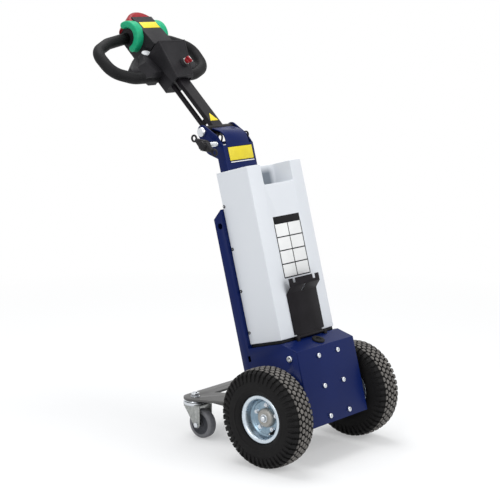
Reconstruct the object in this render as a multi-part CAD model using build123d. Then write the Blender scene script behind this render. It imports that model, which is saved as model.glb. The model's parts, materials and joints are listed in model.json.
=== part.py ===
"""Electric tow tractor of the walk-behind kind, in millimetres.

Two driven wheels stand under a sheet steel body that leans back. A battery case is carried
on its front, a tail plate behind it rides on two swivel castors, and a tiller with a closed
grip loop tilts on a pivot at the top. Front is -Y, the operator walks at +Y, +Z is up and
the origin is on the floor under the middle of the machine.
"""

import os
from math import cos, radians, sin, tan

from build123d import *

# Drive wheels. The tyre is a 3.00-4 block tread tyre on a two-piece pressed rim.
TYRE_DIAMETER = 260.0
TYRE_WIDTH = 82.0
TREAD_FLAT = 24.0
TREAD_WIDTH = 60.0
TREAD_CROWN = 2.5
SHOULDER_INSET = 3.0
SHOULDER_DROP = 14.0
FLANK_HEIGHT = 16.0
BEAD_INSET = 5.0
BEAD_RISE = 6.0
TRACK = 363.0
RIM_DIAMETER = 126.0
RIM_WIDTH = 60.0
RIM_SHEET = 2.5
RIM_LIP_ROUND = 2.0
BEAD_DIAMETER = 107.0
SEAT_GAP = 0.2
HUB_DIAMETER = 50.0
HUB_OUT = 9.0
HUB_NECK = 0.8
CAP_THICKNESS = 5.0
AXLE_NUT_DIAMETER = 19.0
AXLE_NUT_HEIGHT = 9.0
SHAFT_DIAMETER = 20.0
SHAFT_IN_BEARING = 42.0
VALVE_DIAMETER = 8.0
VALVE_RADIUS = 43.0
VALVE_LENGTH = 22.0
VALVE_ANGLE = 52.0
RUNNING_CLEARANCE = 0.05

# Body of folded sheet. It leans back about the wheel axle, and these heights and depths are
# measured from the axle along the leaning body: depth runs backwards, height upwards.
LEAN = 15.1
BODY_WIDTH = 236.4
SHEET = 3.0
BODY_FRONT = -84.0
BODY_BOTTOM = -51.3
NOSE_HEIGHT = 146.7
SHELF_FRONT = -38.9
SHELF_HEIGHT = 172.3
COLUMN_FRONT = 77.0
COLUMN_BACK = 107.0
COLUMN_TOP = 541.5
COLUMN_KNEE = 519.5
HEEL_DEPTH = 62.0
HEEL_HEIGHT = -22.0
BEARING_HOLE = 60.0
CABLE_HOLE_DIAMETER = 16.0
CABLE_HOLE_DEPTH = 90.0
CABLE_HOLE_HEIGHT = 499.0
CHARGE_SLOT_DEPTH = 80.2
CHARGE_SLOT_HEIGHT = 145.3
CHARGE_SLOT_SIZE = (9.0, 15.0)
COVER_BOTTOM = -15.0
COVER_SETBACK = 3.0
FOLD_RADIUS = 3.0

# Bolt heads on the front panel, where the tow hitch is fastened, and on the sides.
HITCH_PITCH = 79.0
HITCH_LOWEST = -34.0
BOLT_HEAD_DIAMETER = 13.0
BOLT_HEAD_HEIGHT = 6.0
BOLT_HEAD_ROUND = 2.0
SIDE_BOLT_DEPTH = -58.3
SIDE_BOLT_HEIGHT = 132.4
SIDE_BOLT_DIAMETER = 17.0

# Rubber grommet for the charging lead on the sloping nose.
GROMMET_DIAMETER = 34.0
GROMMET_BORE = 15.0
GROMMET_HEIGHT = 5.0
GROMMET_ROUND = 2.0

# Battery case on its tray, with the carrying recess open at the top of its front.
CASE_WIDTH = 217.4
CASE_FRONT = -33.0
CASE_BACK = 76.0
CASE_BOTTOM = 181.2
CASE_TOP = 635.5
CASE_CROWN = 4.0
CASE_FLAT = 122.0
CASE_CORNER = 5.0
TRAY_INSET = 3.0
RECESS_WIDTH = 118.0
RECESS_DEPTH = 62.0
RECESS_HEIGHT = 54.0
RECESS_CORNER = 4.0

# Latch plate that holds the case, hinged at its foot on the sloping nose.
LATCH_WIDTH = 121.0
LATCH_SHEET = 3.0
LATCH_GAP = 0.4
LATCH_STRAIGHT = 294.0
LATCH_JOG = 17.0
LATCH_LIP = 331.0
LATCH_NOTCH = 12.0
LATCH_SLOT_WIDTH = 7.0
LATCH_SLOT_HEIGHT = 16.0
HINGE_PIN_DIAMETER = 4.0
KNUCKLE_DIAMETER = 8.0
HINGE_DEPTH = -42.4
HINGE_HEIGHT = 178.0
EAR_WIDTH = 10.0
EAR_GAP = 1.0

# Gearbox and motor between the wheels, open to view from below.
GEARCASE_DIAMETER = 112.0
GEARCASE_WIDTH = 76.0
AXLE_TUBE_DIAMETER = 46.0
AXLE_FLANGE_DIAMETER = 92.0
AXLE_FLANGE = 7.0
GEARCASE_ROUND = 8.0
MOTOR_DIAMETER = 84.0
MOTOR_TOP = 160.0
MOTOR_BACK = 22.0
MOTOR_ROUND = 6.0

# Head of the column, which carries the tiller pivot between two cheeks.
HEAD_WIDTH = 120.0
HEAD_PLATE = 3.0
HEAD_FOOT = 440.0
HEAD_BACK = 103.5
HEAD_BEND_HEIGHT = 716.0
HEAD_BEND_RADIUS = 38.0
ROOF_PITCH = 24.0
ROOF_RUN = 24.0
ROOF_FRONT_WIDTH = 90.0
ROOF_BACK_WIDTH = 80.0
ROOF_SLOT = (15.0, 7.0)
ROOF_SLOT_X = 23.0
ROOF_SLOT_RUN = 3.0
CHEEK_PLATE = 4.0
CHEEK_BROW = 704.0
CHEEK_CORNER = 6.0
CHEEK_SETBACK = 9.0
PIVOT_DEPTH = 139.7
PIVOT_HEIGHT = 755.2
PIVOT_BOSS = 36.0
PIVOT_BOLT_DIAMETER = 16.0
PIVOT_HEAD_DIAMETER = 30.0
PIVOT_HEAD_HEIGHT = 9.0
PIVOT_HEAD_ROUND = 3.0
STUD_DIAMETER = 10.0
STUD_REACH = 57.0
STUD_BELOW = 45.3
STUD_WASHER = 18.0
STUD_WASHER_THICKNESS = 5.0
STUD_COLLAR = 15.0
KNOB_START = 33.0
KNOB_HUB_DIAMETER = 28.0
KNOB_HUB_HEIGHT = 26.0
KNOB_HUB_ROUND = 4.0
KNOB_RING_DIAMETER = 21.0
KNOB_RING_HOLE = 11.5
KNOB_SPREAD = 79.0
KNOB_WING = 10.0
KNOB_TURN = 39.0

# Tiller arm. Reach runs along it from the pivot, rise stands off its front face side.
ARM_ELEVATION = 43.0
ARM_WIDTH = 40.0
ARM_FRONT = 12.5
ARM_REAR = -1.5
ARM_WALL = 3.0
ARM_TOP = 225.0
ARM_CORNER = 2.0
BUSH_DIAMETER = 30.0
SECTOR_OFFSET = 50.0
SECTOR_PLATE = 4.0
SECTOR_RIM = 9.0
TILT_UP = 18.0
TILT_DOWN = 32.0
SLOT_MARGIN = 2.0
SLOT_PLAY = 1.0
CONDUIT_DIAMETER = 14.0
CONDUIT_X = -14.0
CONDUIT_RISE = -19.0
CONDUIT_FOOT = 17.0

# Handle head on the arm. The grip loop lies in one plane behind the arm's face.
CLAMP_BOTTOM = 184.0
CLAMP_TOP = 246.0
CLAMP_WIDTH = 60.0
CLAMP_FRONT = 15.0
CLAMP_REAR = -45.0
CLAMP_CORNER = 5.0
GRIP_DIAMETER = 32.0
GRIP_RISE = -35.0
GRIP_FOOT = 236.0
GRIP_FOOT_HALF = 118.0
GRIP_HALF_LOW = 180.0
GRIP_HALF_HIGH = 186.0
GRIP_LOW = 262.0
GRIP_HIGH = 338.0
GRIP_SHOULDER_HALF = 122.0
GRIP_SHOULDER = 368.0
GRIP_END_HALF = 38.0
GRIP_END = 386.0
GRIP_BENDS = (70.0, 46.0, 40.0, 60.0)
HOUSING_REAR = -54.0
HOUSING_MIDDLE = -32.0
HOUSING_FRONT = 0.0
HOUSING_TOP = 410.0
HOUSING_FOOT = 224.0
HOUSING_FOOT_HALF = (60.0, 98.0, 62.0)
HOUSING_BAR_HALF = (64.0, 106.0, 78.0)
HOUSING_NECK = 300.0
HOUSING_NECK_HALF = (46.0, 66.0, 64.0)
HOUSING_WAIST = 315.0
HOUSING_WAIST_REAR = 38.0
COWL_WIDTH = 78.0
COWL_BOTTOM = 296.0
COWL_RISE_BOTTOM = 33.0
COWL_RISE_TOP = 24.0
COWL_ROUND = 4.0
BUTTON_RADIUS = 55.0
BUTTON_REACH = 26.0
BUTTON_REAR = -44.0
BUTTON_FRONT = 21.0
BUTTON_ROUND = 10.0
BUTTON_GAP = 1.0
THROTTLE_CENTRE = (368.0, -22.0)
THROTTLE_OUTER = 45.0
THROTTLE_THICKNESS = 19.0
THROTTLE_WIDTH = 27.0
THROTTLE_START = 20.0
THROTTLE_SWEEP = 176.0
CONSOLE_BOTTOM = 180.0
CONSOLE_TOP = 284.0
CONSOLE_RISE_BOTTOM = 22.0
CONSOLE_RISE_TOP = 58.0
CONSOLE_WIDTH_BOTTOM = 66.0
CONSOLE_WIDTH_TOP = 106.0
KEY_X = 15.0
KEY_REACH = 219.0
KEY_COLLAR_DIAMETER = 17.0
KEY_COLLAR_HEIGHT = 11.0
KEY_KNOB_DIAMETER = 20.0
KEY_KNOB_HEIGHT = 15.0
KEY_KNOB_ROUND = 3.0
GAUGE_X = -53.0
GAUGE_REACH = 293.0
GAUGE_SIZE = (26.0, 14.0)
GAUGE_HEIGHT = 3.0

# Tail plate and castors, measured in the machine's own level frame behind the axle.
TAIL_TOP = 110.0
TAIL_PLATE = 6.0
PAD_X = 111.0
PAD_Y = 316.0
PAD_RADIUS = 32.0
TAIL_NOSE_WIDTH = 76.0
WINDOW_BACK = 303.0
WINDOW_FRONT = 232.0
WINDOW_WIDTH = 98.0
GUSSET_PLATE = 5.0
GUSSET_SHALLOW = 5.0
GUSSET_DEEP = 34.0
GUSSET_END = 51.0
BRACKET_PLATE = 6.0
BRACKET_BOTTOM = -34.0
BRACKET_TOP = 34.0
CASTOR_DIAMETER = 80.0
CASTOR_WIDTH = 25.0
CASTOR_HUB_INSET = 1.0
CASTOR_TREAD = 11.0
CASTOR_CHAMFER = 4.0
CASTOR_TRAIL = 27.0
CASTOR_AXLE_DIAMETER = 8.0
CASTOR_NUT_DIAMETER = 15.0
FORK_SHEET = 3.0
FORK_SIDE_GAP = 2.0
FORK_CROWN_DIAMETER = 54.0
FORK_LEG_TOP = 33.0
FORK_LEG_SHIFT = -2.0
FORK_EYE_RADIUS = 11.0
KING_DIAMETER = 12.0
KING_FLANGE_DIAMETER = 50.0
KING_FLANGE = 6.0
KING_NUT_DIAMETER = 22.0
KING_NUT_HEIGHT = 10.0
KING_END = 3.0
KING_HEAD = 4.0
THRUST_GAP = 0.3
CROWN_DEPTH = 6.0

AXLE_HEIGHT = TYRE_DIAMETER / 2
HALF_BODY = BODY_WIDTH / 2
SIDES = (("right", -1), ("left", 1))


def leaned(shape):
    """Stand a shape of the leaning body on the wheel axle."""
    return Pos(0, 0, AXLE_HEIGHT) * Rot(-LEAN, 0, 0) * shape


def across(profile, width, middle=0.0):
    """Extrude a depth-height profile sideways, evenly about the given place."""
    face = Plane.YZ * profile
    return Pos(middle, 0, 0) * extrude(face, width / 2, dir=(1, 0, 0), both=True)


def rod_x(diameter, start, end, depth=0.0, height=0.0):
    """A round bar along X between two places."""
    middle = (start + end) / 2
    return Pos(middle, depth, height) * Rot(0, 90, 0) * Cylinder(diameter / 2, abs(end - start))


def on_arm(shape):
    """Carry a shape from the arm's own frame, X across, Y reach, Z rise, to the pivot."""
    place = leaned(Pos(0, PIVOT_DEPTH, PIVOT_HEIGHT))
    return Pos(*place.position) * Rot(ARM_ELEVATION, 0, 0) * shape


def chassis():
    """Folded body: nose, shelf under the case, both sides and the web of the column."""
    outline = Polyline(
        (BODY_FRONT, BODY_BOTTOM), (BODY_FRONT, NOSE_HEIGHT), (SHELF_FRONT, SHELF_HEIGHT),
        (COLUMN_FRONT, SHELF_HEIGHT), (COLUMN_FRONT, COLUMN_TOP), (COLUMN_BACK, COLUMN_KNEE),
        (COLUMN_BACK, HEEL_HEIGHT), (HEEL_DEPTH, BODY_BOTTOM), close=True)
    pitch = radians(degrees_of(nose_slope()))
    drop = SHEET / cos(pitch) - SHEET * nose_slope()
    setback = SHEET * tan(pitch / 2)
    inside = Polyline(
        (BODY_FRONT + SHEET, BODY_BOTTOM - SHEET), (BODY_FRONT + SHEET, NOSE_HEIGHT - drop),
        (SHELF_FRONT + setback, SHELF_HEIGHT - SHEET),
        (COLUMN_FRONT + SHEET, SHELF_HEIGHT - SHEET), (COLUMN_FRONT + SHEET, COLUMN_TOP + SHEET),
        (COLUMN_BACK + SHEET, COLUMN_TOP + SHEET), (COLUMN_BACK + SHEET, BODY_BOTTOM - SHEET),
        close=True)
    body = across(make_face(outline), BODY_WIDTH)
    body = fillet(nose_folds(body), FOLD_RADIUS)
    body -= across(make_face(inside), BODY_WIDTH - 2 * SHEET)
    for diameter, depth, height in (
            (BEARING_HOLE, 0, 0), (CABLE_HOLE_DIAMETER, CABLE_HOLE_DEPTH, CABLE_HOLE_HEIGHT)):
        body -= rod_x(diameter, -BODY_WIDTH, BODY_WIDTH, depth, height)
    body -= Pos(0, CHARGE_SLOT_DEPTH, CHARGE_SLOT_HEIGHT) * Box(2 * BODY_WIDTH, *CHARGE_SLOT_SIZE)
    return body


def nose_folds(body):
    """Edges where the nose is folded: down its front corners, along its slope and its brow."""
    front = body.edges().filter_by(lambda edge: edge.center().Y < SHELF_FRONT + 1)
    return front.filter_by(lambda edge: edge.center().Z > BODY_BOTTOM + 1)


def rear_cover():
    """Plate between the column's flanges, bent forward at the top and notched for the head."""
    back = COLUMN_BACK - COVER_SETBACK
    front = back - SHEET + SEAT_GAP
    knee = COLUMN_KNEE - SHEET
    top = COLUMN_TOP - SHEET
    profile = Polyline(
        (back, COVER_BOTTOM), (back, knee), (COLUMN_FRONT + SHEET, top),
        (COLUMN_FRONT + SHEET, top - SHEET), (front, knee - SHEET), (front, COVER_BOTTOM), close=True)
    plate = across(make_face(profile), BODY_WIDTH - 2 * SHEET)
    notch_height = COLUMN_TOP - HEAD_FOOT + SHEET
    notch = Box(HEAD_WIDTH + SEAT_GAP, 2 * COLUMN_BACK, notch_height,
                align=(Align.CENTER, Align.CENTER, Align.MIN))
    return plate - Pos(0, COLUMN_FRONT, HEAD_FOOT - SEAT_GAP) * notch


def gearbox():
    """Differential case with its axle tubes, flanged to the insides of the body."""
    inner = HALF_BODY - SHEET
    case = rod_x(GEARCASE_DIAMETER, -GEARCASE_WIDTH / 2, GEARCASE_WIDTH / 2)
    case = fillet(case.edges().filter_by(GeomType.CIRCLE), GEARCASE_ROUND)
    case += rod_x(AXLE_TUBE_DIAMETER, -inner, inner)
    for _, side in SIDES:
        case += rod_x(AXLE_FLANGE_DIAMETER, side * (inner - AXLE_FLANGE), side * inner)
        bore_end = inner - SHAFT_IN_BEARING - 1
        case -= rod_x(SHAFT_DIAMETER + 2 * RUNNING_CLEARANCE, side * bore_end, side * (inner + 1))
    return case


def drive_motor():
    """Motor standing on the gearcase, seated on the case's round top."""
    body = Cylinder(MOTOR_DIAMETER / 2, MOTOR_TOP, align=(Align.CENTER, Align.CENTER, Align.MIN))
    body = fillet(body.edges().group_by(Axis.Z)[-1], MOTOR_ROUND)
    seat = rod_x(GEARCASE_DIAMETER + 2 * SEAT_GAP, -GEARCASE_DIAMETER, GEARCASE_DIAMETER)
    return Pos(0, MOTOR_BACK, 0) * body - seat - Pos(0, 0, -GEARCASE_DIAMETER / 2) * Box(
        2 * GEARCASE_DIAMETER, 2 * GEARCASE_DIAMETER, GEARCASE_DIAMETER)


def battery_case():
    """Case with a slightly crowned front and a hand recess open at the top."""
    half, flat = CASE_WIDTH / 2, CASE_FLAT / 2
    crown = CASE_FRONT - CASE_CROWN
    plan = Polyline(
        (-half, CASE_BACK), (-half, CASE_FRONT), (-flat, crown), (flat, crown),
        (half, CASE_FRONT), (half, CASE_BACK), close=True)
    height = CASE_TOP - CASE_BOTTOM
    case = Pos(0, 0, CASE_BOTTOM) * extrude(make_face(plan), height)
    upright = case.edges().filter_by(Axis.Z)
    case = fillet(upright.filter_by(lambda edge: abs(edge.center().X) > flat + 1), CASE_CORNER)
    recess = Box(RECESS_WIDTH, RECESS_DEPTH + CASE_CROWN, RECESS_HEIGHT + RECESS_CORNER,
                 align=(Align.CENTER, Align.MIN, Align.MIN))
    recess = fillet(recess.edges().group_by(Axis.Y)[-1].filter_by(Axis.Z), RECESS_CORNER)
    return case - Pos(0, crown - CASE_CROWN, CASE_TOP - RECESS_HEIGHT) * recess


def battery_tray():
    """Rubber tray between the shelf and the case."""
    depth = CASE_BACK - CASE_FRONT - 2 * TRAY_INSET
    height = CASE_BOTTOM - SHELF_HEIGHT
    tray = Box(CASE_WIDTH - 2 * TRAY_INSET, depth, height)
    return Pos(0, (CASE_BACK + CASE_FRONT) / 2, SHELF_HEIGHT + height / 2) * tray


def latch_hinge():
    """Two ears on the nose slope with the hinge pin fixed between them."""
    knuckle = KNUCKLE_DIAMETER / 2
    ears = Sketch() + Pos(HINGE_DEPTH, HINGE_HEIGHT) * Circle(knuckle)
    foot = NOSE_HEIGHT + (HINGE_DEPTH - BODY_FRONT) * nose_slope()
    ears += Pos(HINGE_DEPTH, (HINGE_HEIGHT + foot) / 2) * Rectangle(
        2 * knuckle, HINGE_HEIGHT - foot + 2 * knuckle)
    hinge = Part()
    for _, side in SIDES:
        hinge += across(ears, EAR_WIDTH, side * (LATCH_WIDTH - EAR_WIDTH) / 2)
    hinge += rod_x(HINGE_PIN_DIAMETER, -LATCH_WIDTH / 2, LATCH_WIDTH / 2, HINGE_DEPTH, HINGE_HEIGHT)
    return hinge - nose_block() - shelf_block()


def nose_slope():
    """Rise of the sloping nose for each millimetre backwards."""
    return (SHELF_HEIGHT - NOSE_HEIGHT) / (SHELF_FRONT - BODY_FRONT)


def nose_block():
    """The space under the sloping nose, for cutting what stands on it."""
    wedge = Polyline((BODY_FRONT, 0), (BODY_FRONT, NOSE_HEIGHT), (SHELF_FRONT, SHELF_HEIGHT),
                     (SHELF_FRONT, 0), close=True)
    return across(make_face(wedge), BODY_WIDTH)


def shelf_block():
    """The space of the shelf and the case behind the latch."""
    front = CASE_FRONT - CASE_CROWN
    block = Box(BODY_WIDTH, COLUMN_BACK, CASE_TOP, align=(Align.CENTER, Align.MIN, Align.MIN))
    shelf = Pos(0, SHELF_FRONT, 0) * Box(
        BODY_WIDTH, COLUMN_BACK, SHELF_HEIGHT, align=(Align.CENTER, Align.MIN, Align.MIN))
    return Pos(0, front - LATCH_GAP, 0) * block + shelf


def battery_latch():
    """Strap that lies on the case front, jogged outwards to a finger lip at its top."""
    back = CASE_FRONT - CASE_CROWN - LATCH_GAP
    front = back - LATCH_SHEET
    foot = HINGE_HEIGHT
    strap = Polyline(
        (back, foot), (front, foot), (front, LATCH_STRAIGHT),
        (front - LATCH_JOG, LATCH_STRAIGHT + LATCH_JOG),
        (front - LATCH_JOG, LATCH_LIP), (back - LATCH_JOG, LATCH_LIP),
        (back - LATCH_JOG, LATCH_STRAIGHT + LATCH_JOG - LATCH_SHEET / 2),
        (back, LATCH_STRAIGHT - LATCH_SHEET / 2), close=True)
    plate = across(make_face(strap), LATCH_WIDTH)
    gap = Box(2 * (EAR_WIDTH + EAR_GAP), 4 * KNUCKLE_DIAMETER, 2 * KNUCKLE_DIAMETER)
    for _, side in SIDES:
        plate -= Pos(side * LATCH_WIDTH / 2, front, foot) * gap
        notch = Box(LATCH_NOTCH, 2 * LATCH_SHEET, 2 * LATCH_NOTCH)
        plate -= Pos(side * LATCH_WIDTH / 3, front - LATCH_JOG + LATCH_SHEET / 2, LATCH_LIP) * notch
    slot = Box(LATCH_SLOT_WIDTH, 4 * LATCH_JOG, LATCH_SLOT_HEIGHT)
    plate -= Pos(0, front, LATCH_STRAIGHT + LATCH_JOG / 2) * slot
    barrel = LATCH_WIDTH - 2 * (EAR_WIDTH + EAR_GAP)
    plate += rod_x(KNUCKLE_DIAMETER, -barrel / 2, barrel / 2, HINGE_DEPTH, HINGE_HEIGHT)
    plate -= rod_x(HINGE_PIN_DIAMETER + 2 * RUNNING_CLEARANCE, -LATCH_WIDTH, LATCH_WIDTH,
                   HINGE_DEPTH, HINGE_HEIGHT)
    case_front = Pos(0, back, 0) * Box(BODY_WIDTH, COLUMN_BACK, CASE_TOP,
                                       align=(Align.CENTER, Align.MIN, Align.MIN))
    return plate - case_front


def cable_grommet():
    """Rubber ring on the middle of the sloping nose."""
    ring = Cylinder(GROMMET_DIAMETER / 2, GROMMET_HEIGHT,
                    align=(Align.CENTER, Align.CENTER, Align.MIN))
    ring = fillet(ring.edges().group_by(Axis.Z)[-1], GROMMET_ROUND)
    ring -= Cylinder(GROMMET_BORE / 2, 4 * GROMMET_HEIGHT)
    pitch = degrees_of(nose_slope())
    middle = ((BODY_FRONT + SHELF_FRONT) / 2, (NOSE_HEIGHT + SHELF_HEIGHT) / 2)
    return Pos(0, *middle) * Rot(pitch, 0, 0) * ring


def degrees_of(slope):
    """Angle of a slope in degrees."""
    return Vector(1, slope, 0).get_angle(Vector(1, 0, 0))


def bolt_head(diameter, height):
    """Round-topped bolt head standing on its seat, with a hexagon socket."""
    head = Cylinder(diameter / 2, height, align=(Align.CENTER, Align.CENTER, Align.MIN))
    head = fillet(head.edges().group_by(Axis.Z)[-1], BOLT_HEAD_ROUND)
    socket = Pos(0, 0, height) * extrude(RegularPolygon(diameter / 4, 6), height, both=True)
    return head - Pos(0, 0, height / 2) * socket


def hitch_bolts():
    """Six bolt heads on the front panel, in two columns of three."""
    heads = []
    for side in (-1, 1):
        for row in range(3):
            place = Pos(side * HITCH_PITCH / 2, BODY_FRONT, HITCH_LOWEST + row * HITCH_PITCH)
            heads.append(place * Rot(90, 0, 0) * bolt_head(BOLT_HEAD_DIAMETER, BOLT_HEAD_HEIGHT))
    return Compound(children=heads)


def side_bolts():
    """One larger bolt head on each side of the nose."""
    heads = []
    for _, side in SIDES:
        place = Pos(side * HALF_BODY, SIDE_BOLT_DEPTH, SIDE_BOLT_HEIGHT)
        heads.append(place * Rot(0, 90 * side, 0) * bolt_head(SIDE_BOLT_DIAMETER, BOLT_HEAD_HEIGHT))
    return Compound(children=heads)


def stud_place():
    """Depth and height of the clamping stud, in front of and below the pivot."""
    angle = radians(180 + STUD_BELOW)
    return PIVOT_DEPTH + STUD_REACH * cos(angle), PIVOT_HEIGHT + STUD_REACH * sin(angle)


def cheek():
    """Outline of one cheek: a strip up the column that grows back to the pivot boss."""
    stud = stud_place()
    boss = Pos(PIVOT_DEPTH, PIVOT_HEIGHT) * Circle(PIVOT_BOSS / 2)
    brow = Pos(COLUMN_FRONT + CHEEK_CORNER, CHEEK_BROW) * Circle(CHEEK_CORNER)
    bend = Pos(COLUMN_FRONT + HEAD_BEND_RADIUS, HEAD_BEND_HEIGHT) * Circle(
        HEAD_BEND_RADIUS - CHEEK_SETBACK)
    elbow = Pos(HEAD_BACK - CHEEK_CORNER, stud[1] - PIVOT_BOSS) * Circle(CHEEK_CORNER)
    arm = make_hull((boss + brow + bend + elbow).edges())
    upper = CHEEK_BROW - COLUMN_TOP
    strip = Pos((COLUMN_FRONT + HEAD_BACK) / 2, COLUMN_TOP + upper / 2) * Rectangle(
        HEAD_BACK - COLUMN_FRONT, upper)
    root_front = COLUMN_FRONT + SHEET
    root_back = COLUMN_BACK - COVER_SETBACK - SHEET
    root = Pos((root_front + root_back) / 2, (HEAD_FOOT + COLUMN_TOP) / 2) * Rectangle(
        root_back - root_front, COLUMN_TOP - HEAD_FOOT)
    return arm + strip + root


def column_head():
    """Front plate rolled back into a roof, between two cheeks with the pivot bores."""
    bend = radians(90 - ROOF_PITCH)
    start = (COLUMN_FRONT, HEAD_BEND_HEIGHT)
    centre = (COLUMN_FRONT + HEAD_BEND_RADIUS, HEAD_BEND_HEIGHT)
    finish = (centre[0] - HEAD_BEND_RADIUS * cos(bend), centre[1] + HEAD_BEND_RADIUS * sin(bend))
    pitch = radians(ROOF_PITCH)
    edge = (finish[0] + ROOF_RUN * cos(pitch), finish[1] + ROOF_RUN * sin(pitch))
    inner = HEAD_BEND_RADIUS - HEAD_PLATE
    under = (centre[0] - inner * cos(bend), centre[1] + inner * sin(bend))
    under_edge = (under[0] + ROOF_RUN * cos(pitch), under[1] + ROOF_RUN * sin(pitch))
    foot = (COLUMN_FRONT, COLUMN_TOP)
    outline = [
        Line(foot, start), RadiusArc(start, finish, HEAD_BEND_RADIUS), Line(finish, edge),
        Line(edge, under_edge), Line(under_edge, under),
        RadiusArc(under, (start[0] + HEAD_PLATE, start[1]), -inner),
        Line((start[0] + HEAD_PLATE, start[1]), (foot[0] + HEAD_PLATE, foot[1])),
        Line((foot[0] + HEAD_PLATE, foot[1]), foot)]
    plate = across(make_face(outline), HEAD_WIDTH)
    for _, side in SIDES:
        trim = Polyline(
            (side * ROOF_FRONT_WIDTH / 2, CHEEK_BROW + SHEET),
            (side * ROOF_BACK_WIDTH / 2, edge[1]), (side * ROOF_BACK_WIDTH / 2, edge[1] + SHEET),
            (side * HEAD_WIDTH, edge[1] + SHEET), (side * HEAD_WIDTH, CHEEK_BROW + SHEET), close=True)
        plate -= extrude(Plane.XZ * make_face(trim), 2 * COLUMN_BACK, both=True)
    slot = Pos(ROOF_SLOT_X, ROOF_SLOT_RUN, 0) * extrude(
        SlotOverall(*ROOF_SLOT), 2 * HEAD_PLATE, both=True)
    head = plate - Pos(0, *finish) * Rot(ROOF_PITCH, 0, 0) * slot
    for _, side in SIDES:
        head += across(cheek(), CHEEK_PLATE, side * (HEAD_WIDTH - CHEEK_PLATE) / 2)
    head -= rod_x(PIVOT_BOLT_DIAMETER, -HEAD_WIDTH, HEAD_WIDTH, PIVOT_DEPTH, PIVOT_HEIGHT)
    head -= rod_x(STUD_DIAMETER, -HEAD_WIDTH, HEAD_WIDTH, *stud_place())
    return head


def pivot_bolt():
    """Bolt through both cheeks with a round head outside each."""
    half = HEAD_WIDTH / 2
    bolt = rod_x(PIVOT_BOLT_DIAMETER, -half, half)
    for _, side in SIDES:
        head = rod_x(PIVOT_HEAD_DIAMETER, side * half, side * (half + PIVOT_HEAD_HEIGHT))
        outer = head.edges().filter_by(GeomType.CIRCLE).sort_by(Axis.X)
        bolt += fillet(outer[-1] if side > 0 else outer[0], PIVOT_HEAD_ROUND)
    return Pos(0, PIVOT_DEPTH, PIVOT_HEIGHT) * bolt


def clamp_stud():
    """Threaded stud through the cheeks, with a washer head on the far side."""
    half = HEAD_WIDTH / 2
    depth, height = stud_place()
    stud = rod_x(STUD_DIAMETER, -half - KNOB_START - KNOB_HUB_HEIGHT / 2, half)
    stud += rod_x(STUD_WASHER, half, half + STUD_WASHER_THICKNESS)
    stud += rod_x(STUD_COLLAR, -half - KNOB_START, -half)
    return Pos(0, depth, height) * stud


def clamp_knob():
    """Two-winged knob on the end of the stud, with a ring at the tip of each wing."""
    depth, height = stud_place()
    hub = Cylinder(KNOB_HUB_DIAMETER / 2, KNOB_HUB_HEIGHT)
    knob = fillet(hub.edges().group_by(Axis.Z)[-1], KNOB_HUB_ROUND)
    tips = [Pos(side * KNOB_SPREAD / 2, 0) * Circle(KNOB_RING_DIAMETER / 2) for side in (-1, 1)]
    for tip in tips:
        waist = Rectangle(KNOB_WING, KNOB_HUB_DIAMETER - KNOB_HUB_ROUND)
        knob += extrude(make_hull((waist + tip).edges()), KNOB_WING / 2, both=True)
    for side in (-1, 1):
        knob -= Pos(side * KNOB_SPREAD / 2, 0, 0) * Cylinder(KNOB_RING_HOLE / 2, KNOB_HUB_HEIGHT)
    knob -= Pos(0, 0, -KNOB_HUB_HEIGHT / 2) * Cylinder(STUD_DIAMETER / 2, KNOB_HUB_HEIGHT)
    outward = -HEAD_WIDTH / 2 - KNOB_START - KNOB_HUB_HEIGHT / 2
    upright = Rot(0, -90, 0) * Rot(0, 0, 90) * knob
    return Pos(outward, depth, height) * Rot(KNOB_TURN, 0, 0) * upright


def tiller_arm():
    """Rectangular arm on a pivot bush, with two slotted sector plates below it."""
    depth = ARM_FRONT - ARM_REAR
    middle = (ARM_FRONT + ARM_REAR) / 2
    arm = Box(ARM_WIDTH, ARM_TOP, depth, align=(Align.CENTER, Align.MIN, Align.CENTER))
    arm = fillet(arm.edges().filter_by(Axis.Y), ARM_CORNER)
    hollow = Box(ARM_WIDTH - 2 * ARM_WALL, ARM_TOP, depth - 2 * ARM_WALL,
                 align=(Align.CENTER, Align.MIN, Align.CENTER))
    arm = Pos(0, 0, middle) * (arm - Pos(0, BUSH_DIAMETER, 0) * hollow)
    outer = SECTOR_OFFSET + SECTOR_PLATE
    arm += rod_x(BUSH_DIAMETER, -outer, outer)
    for _, side in SIDES:
        arm += across(sector(), SECTOR_PLATE, side * (SECTOR_OFFSET + SECTOR_PLATE / 2))
    return arm - rod_x(PIVOT_BOLT_DIAMETER + 2 * RUNNING_CLEARANCE, -outer - 1, outer + 1)


def stud_angle():
    """Angle of the stud about the pivot in the arm's own frame, from its reach axis."""
    return 180 + STUD_BELOW - LEAN - ARM_ELEVATION


def sector():
    """Sector plate about the pivot with the curved slot that the stud runs in."""
    first = stud_angle() - TILT_UP - SLOT_MARGIN
    last = stud_angle() + TILT_DOWN + SLOT_MARGIN
    slot_radius = STUD_DIAMETER / 2 + SLOT_PLAY
    spots = []
    for angle in (first, last):
        turn = radians(angle)
        spots.append((STUD_REACH * cos(turn), STUD_REACH * sin(turn)))
    path = CenterArc((0, 0), STUD_REACH, first, last - first)
    band = trace_arc(path, 2 * SECTOR_RIM, spots)
    plate = Sketch() + band + Circle(BUSH_DIAMETER / 2)
    plate += make_face(Polyline((0, 0), spots[0], wide_point(first, last), spots[1], close=True))
    return plate - trace_arc(path, 2 * slot_radius, spots)


def wide_point(first, last):
    """Point on the slot's arc half way between its ends."""
    turn = radians((first + last) / 2)
    return STUD_REACH * cos(turn), STUD_REACH * sin(turn)


def trace_arc(path, width, ends):
    """Band of one width along an arc, round at both ends."""
    band = Sketch() + trace(path, width)
    for end in ends:
        band += Pos(*end) * Circle(width / 2)
    return band


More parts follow.
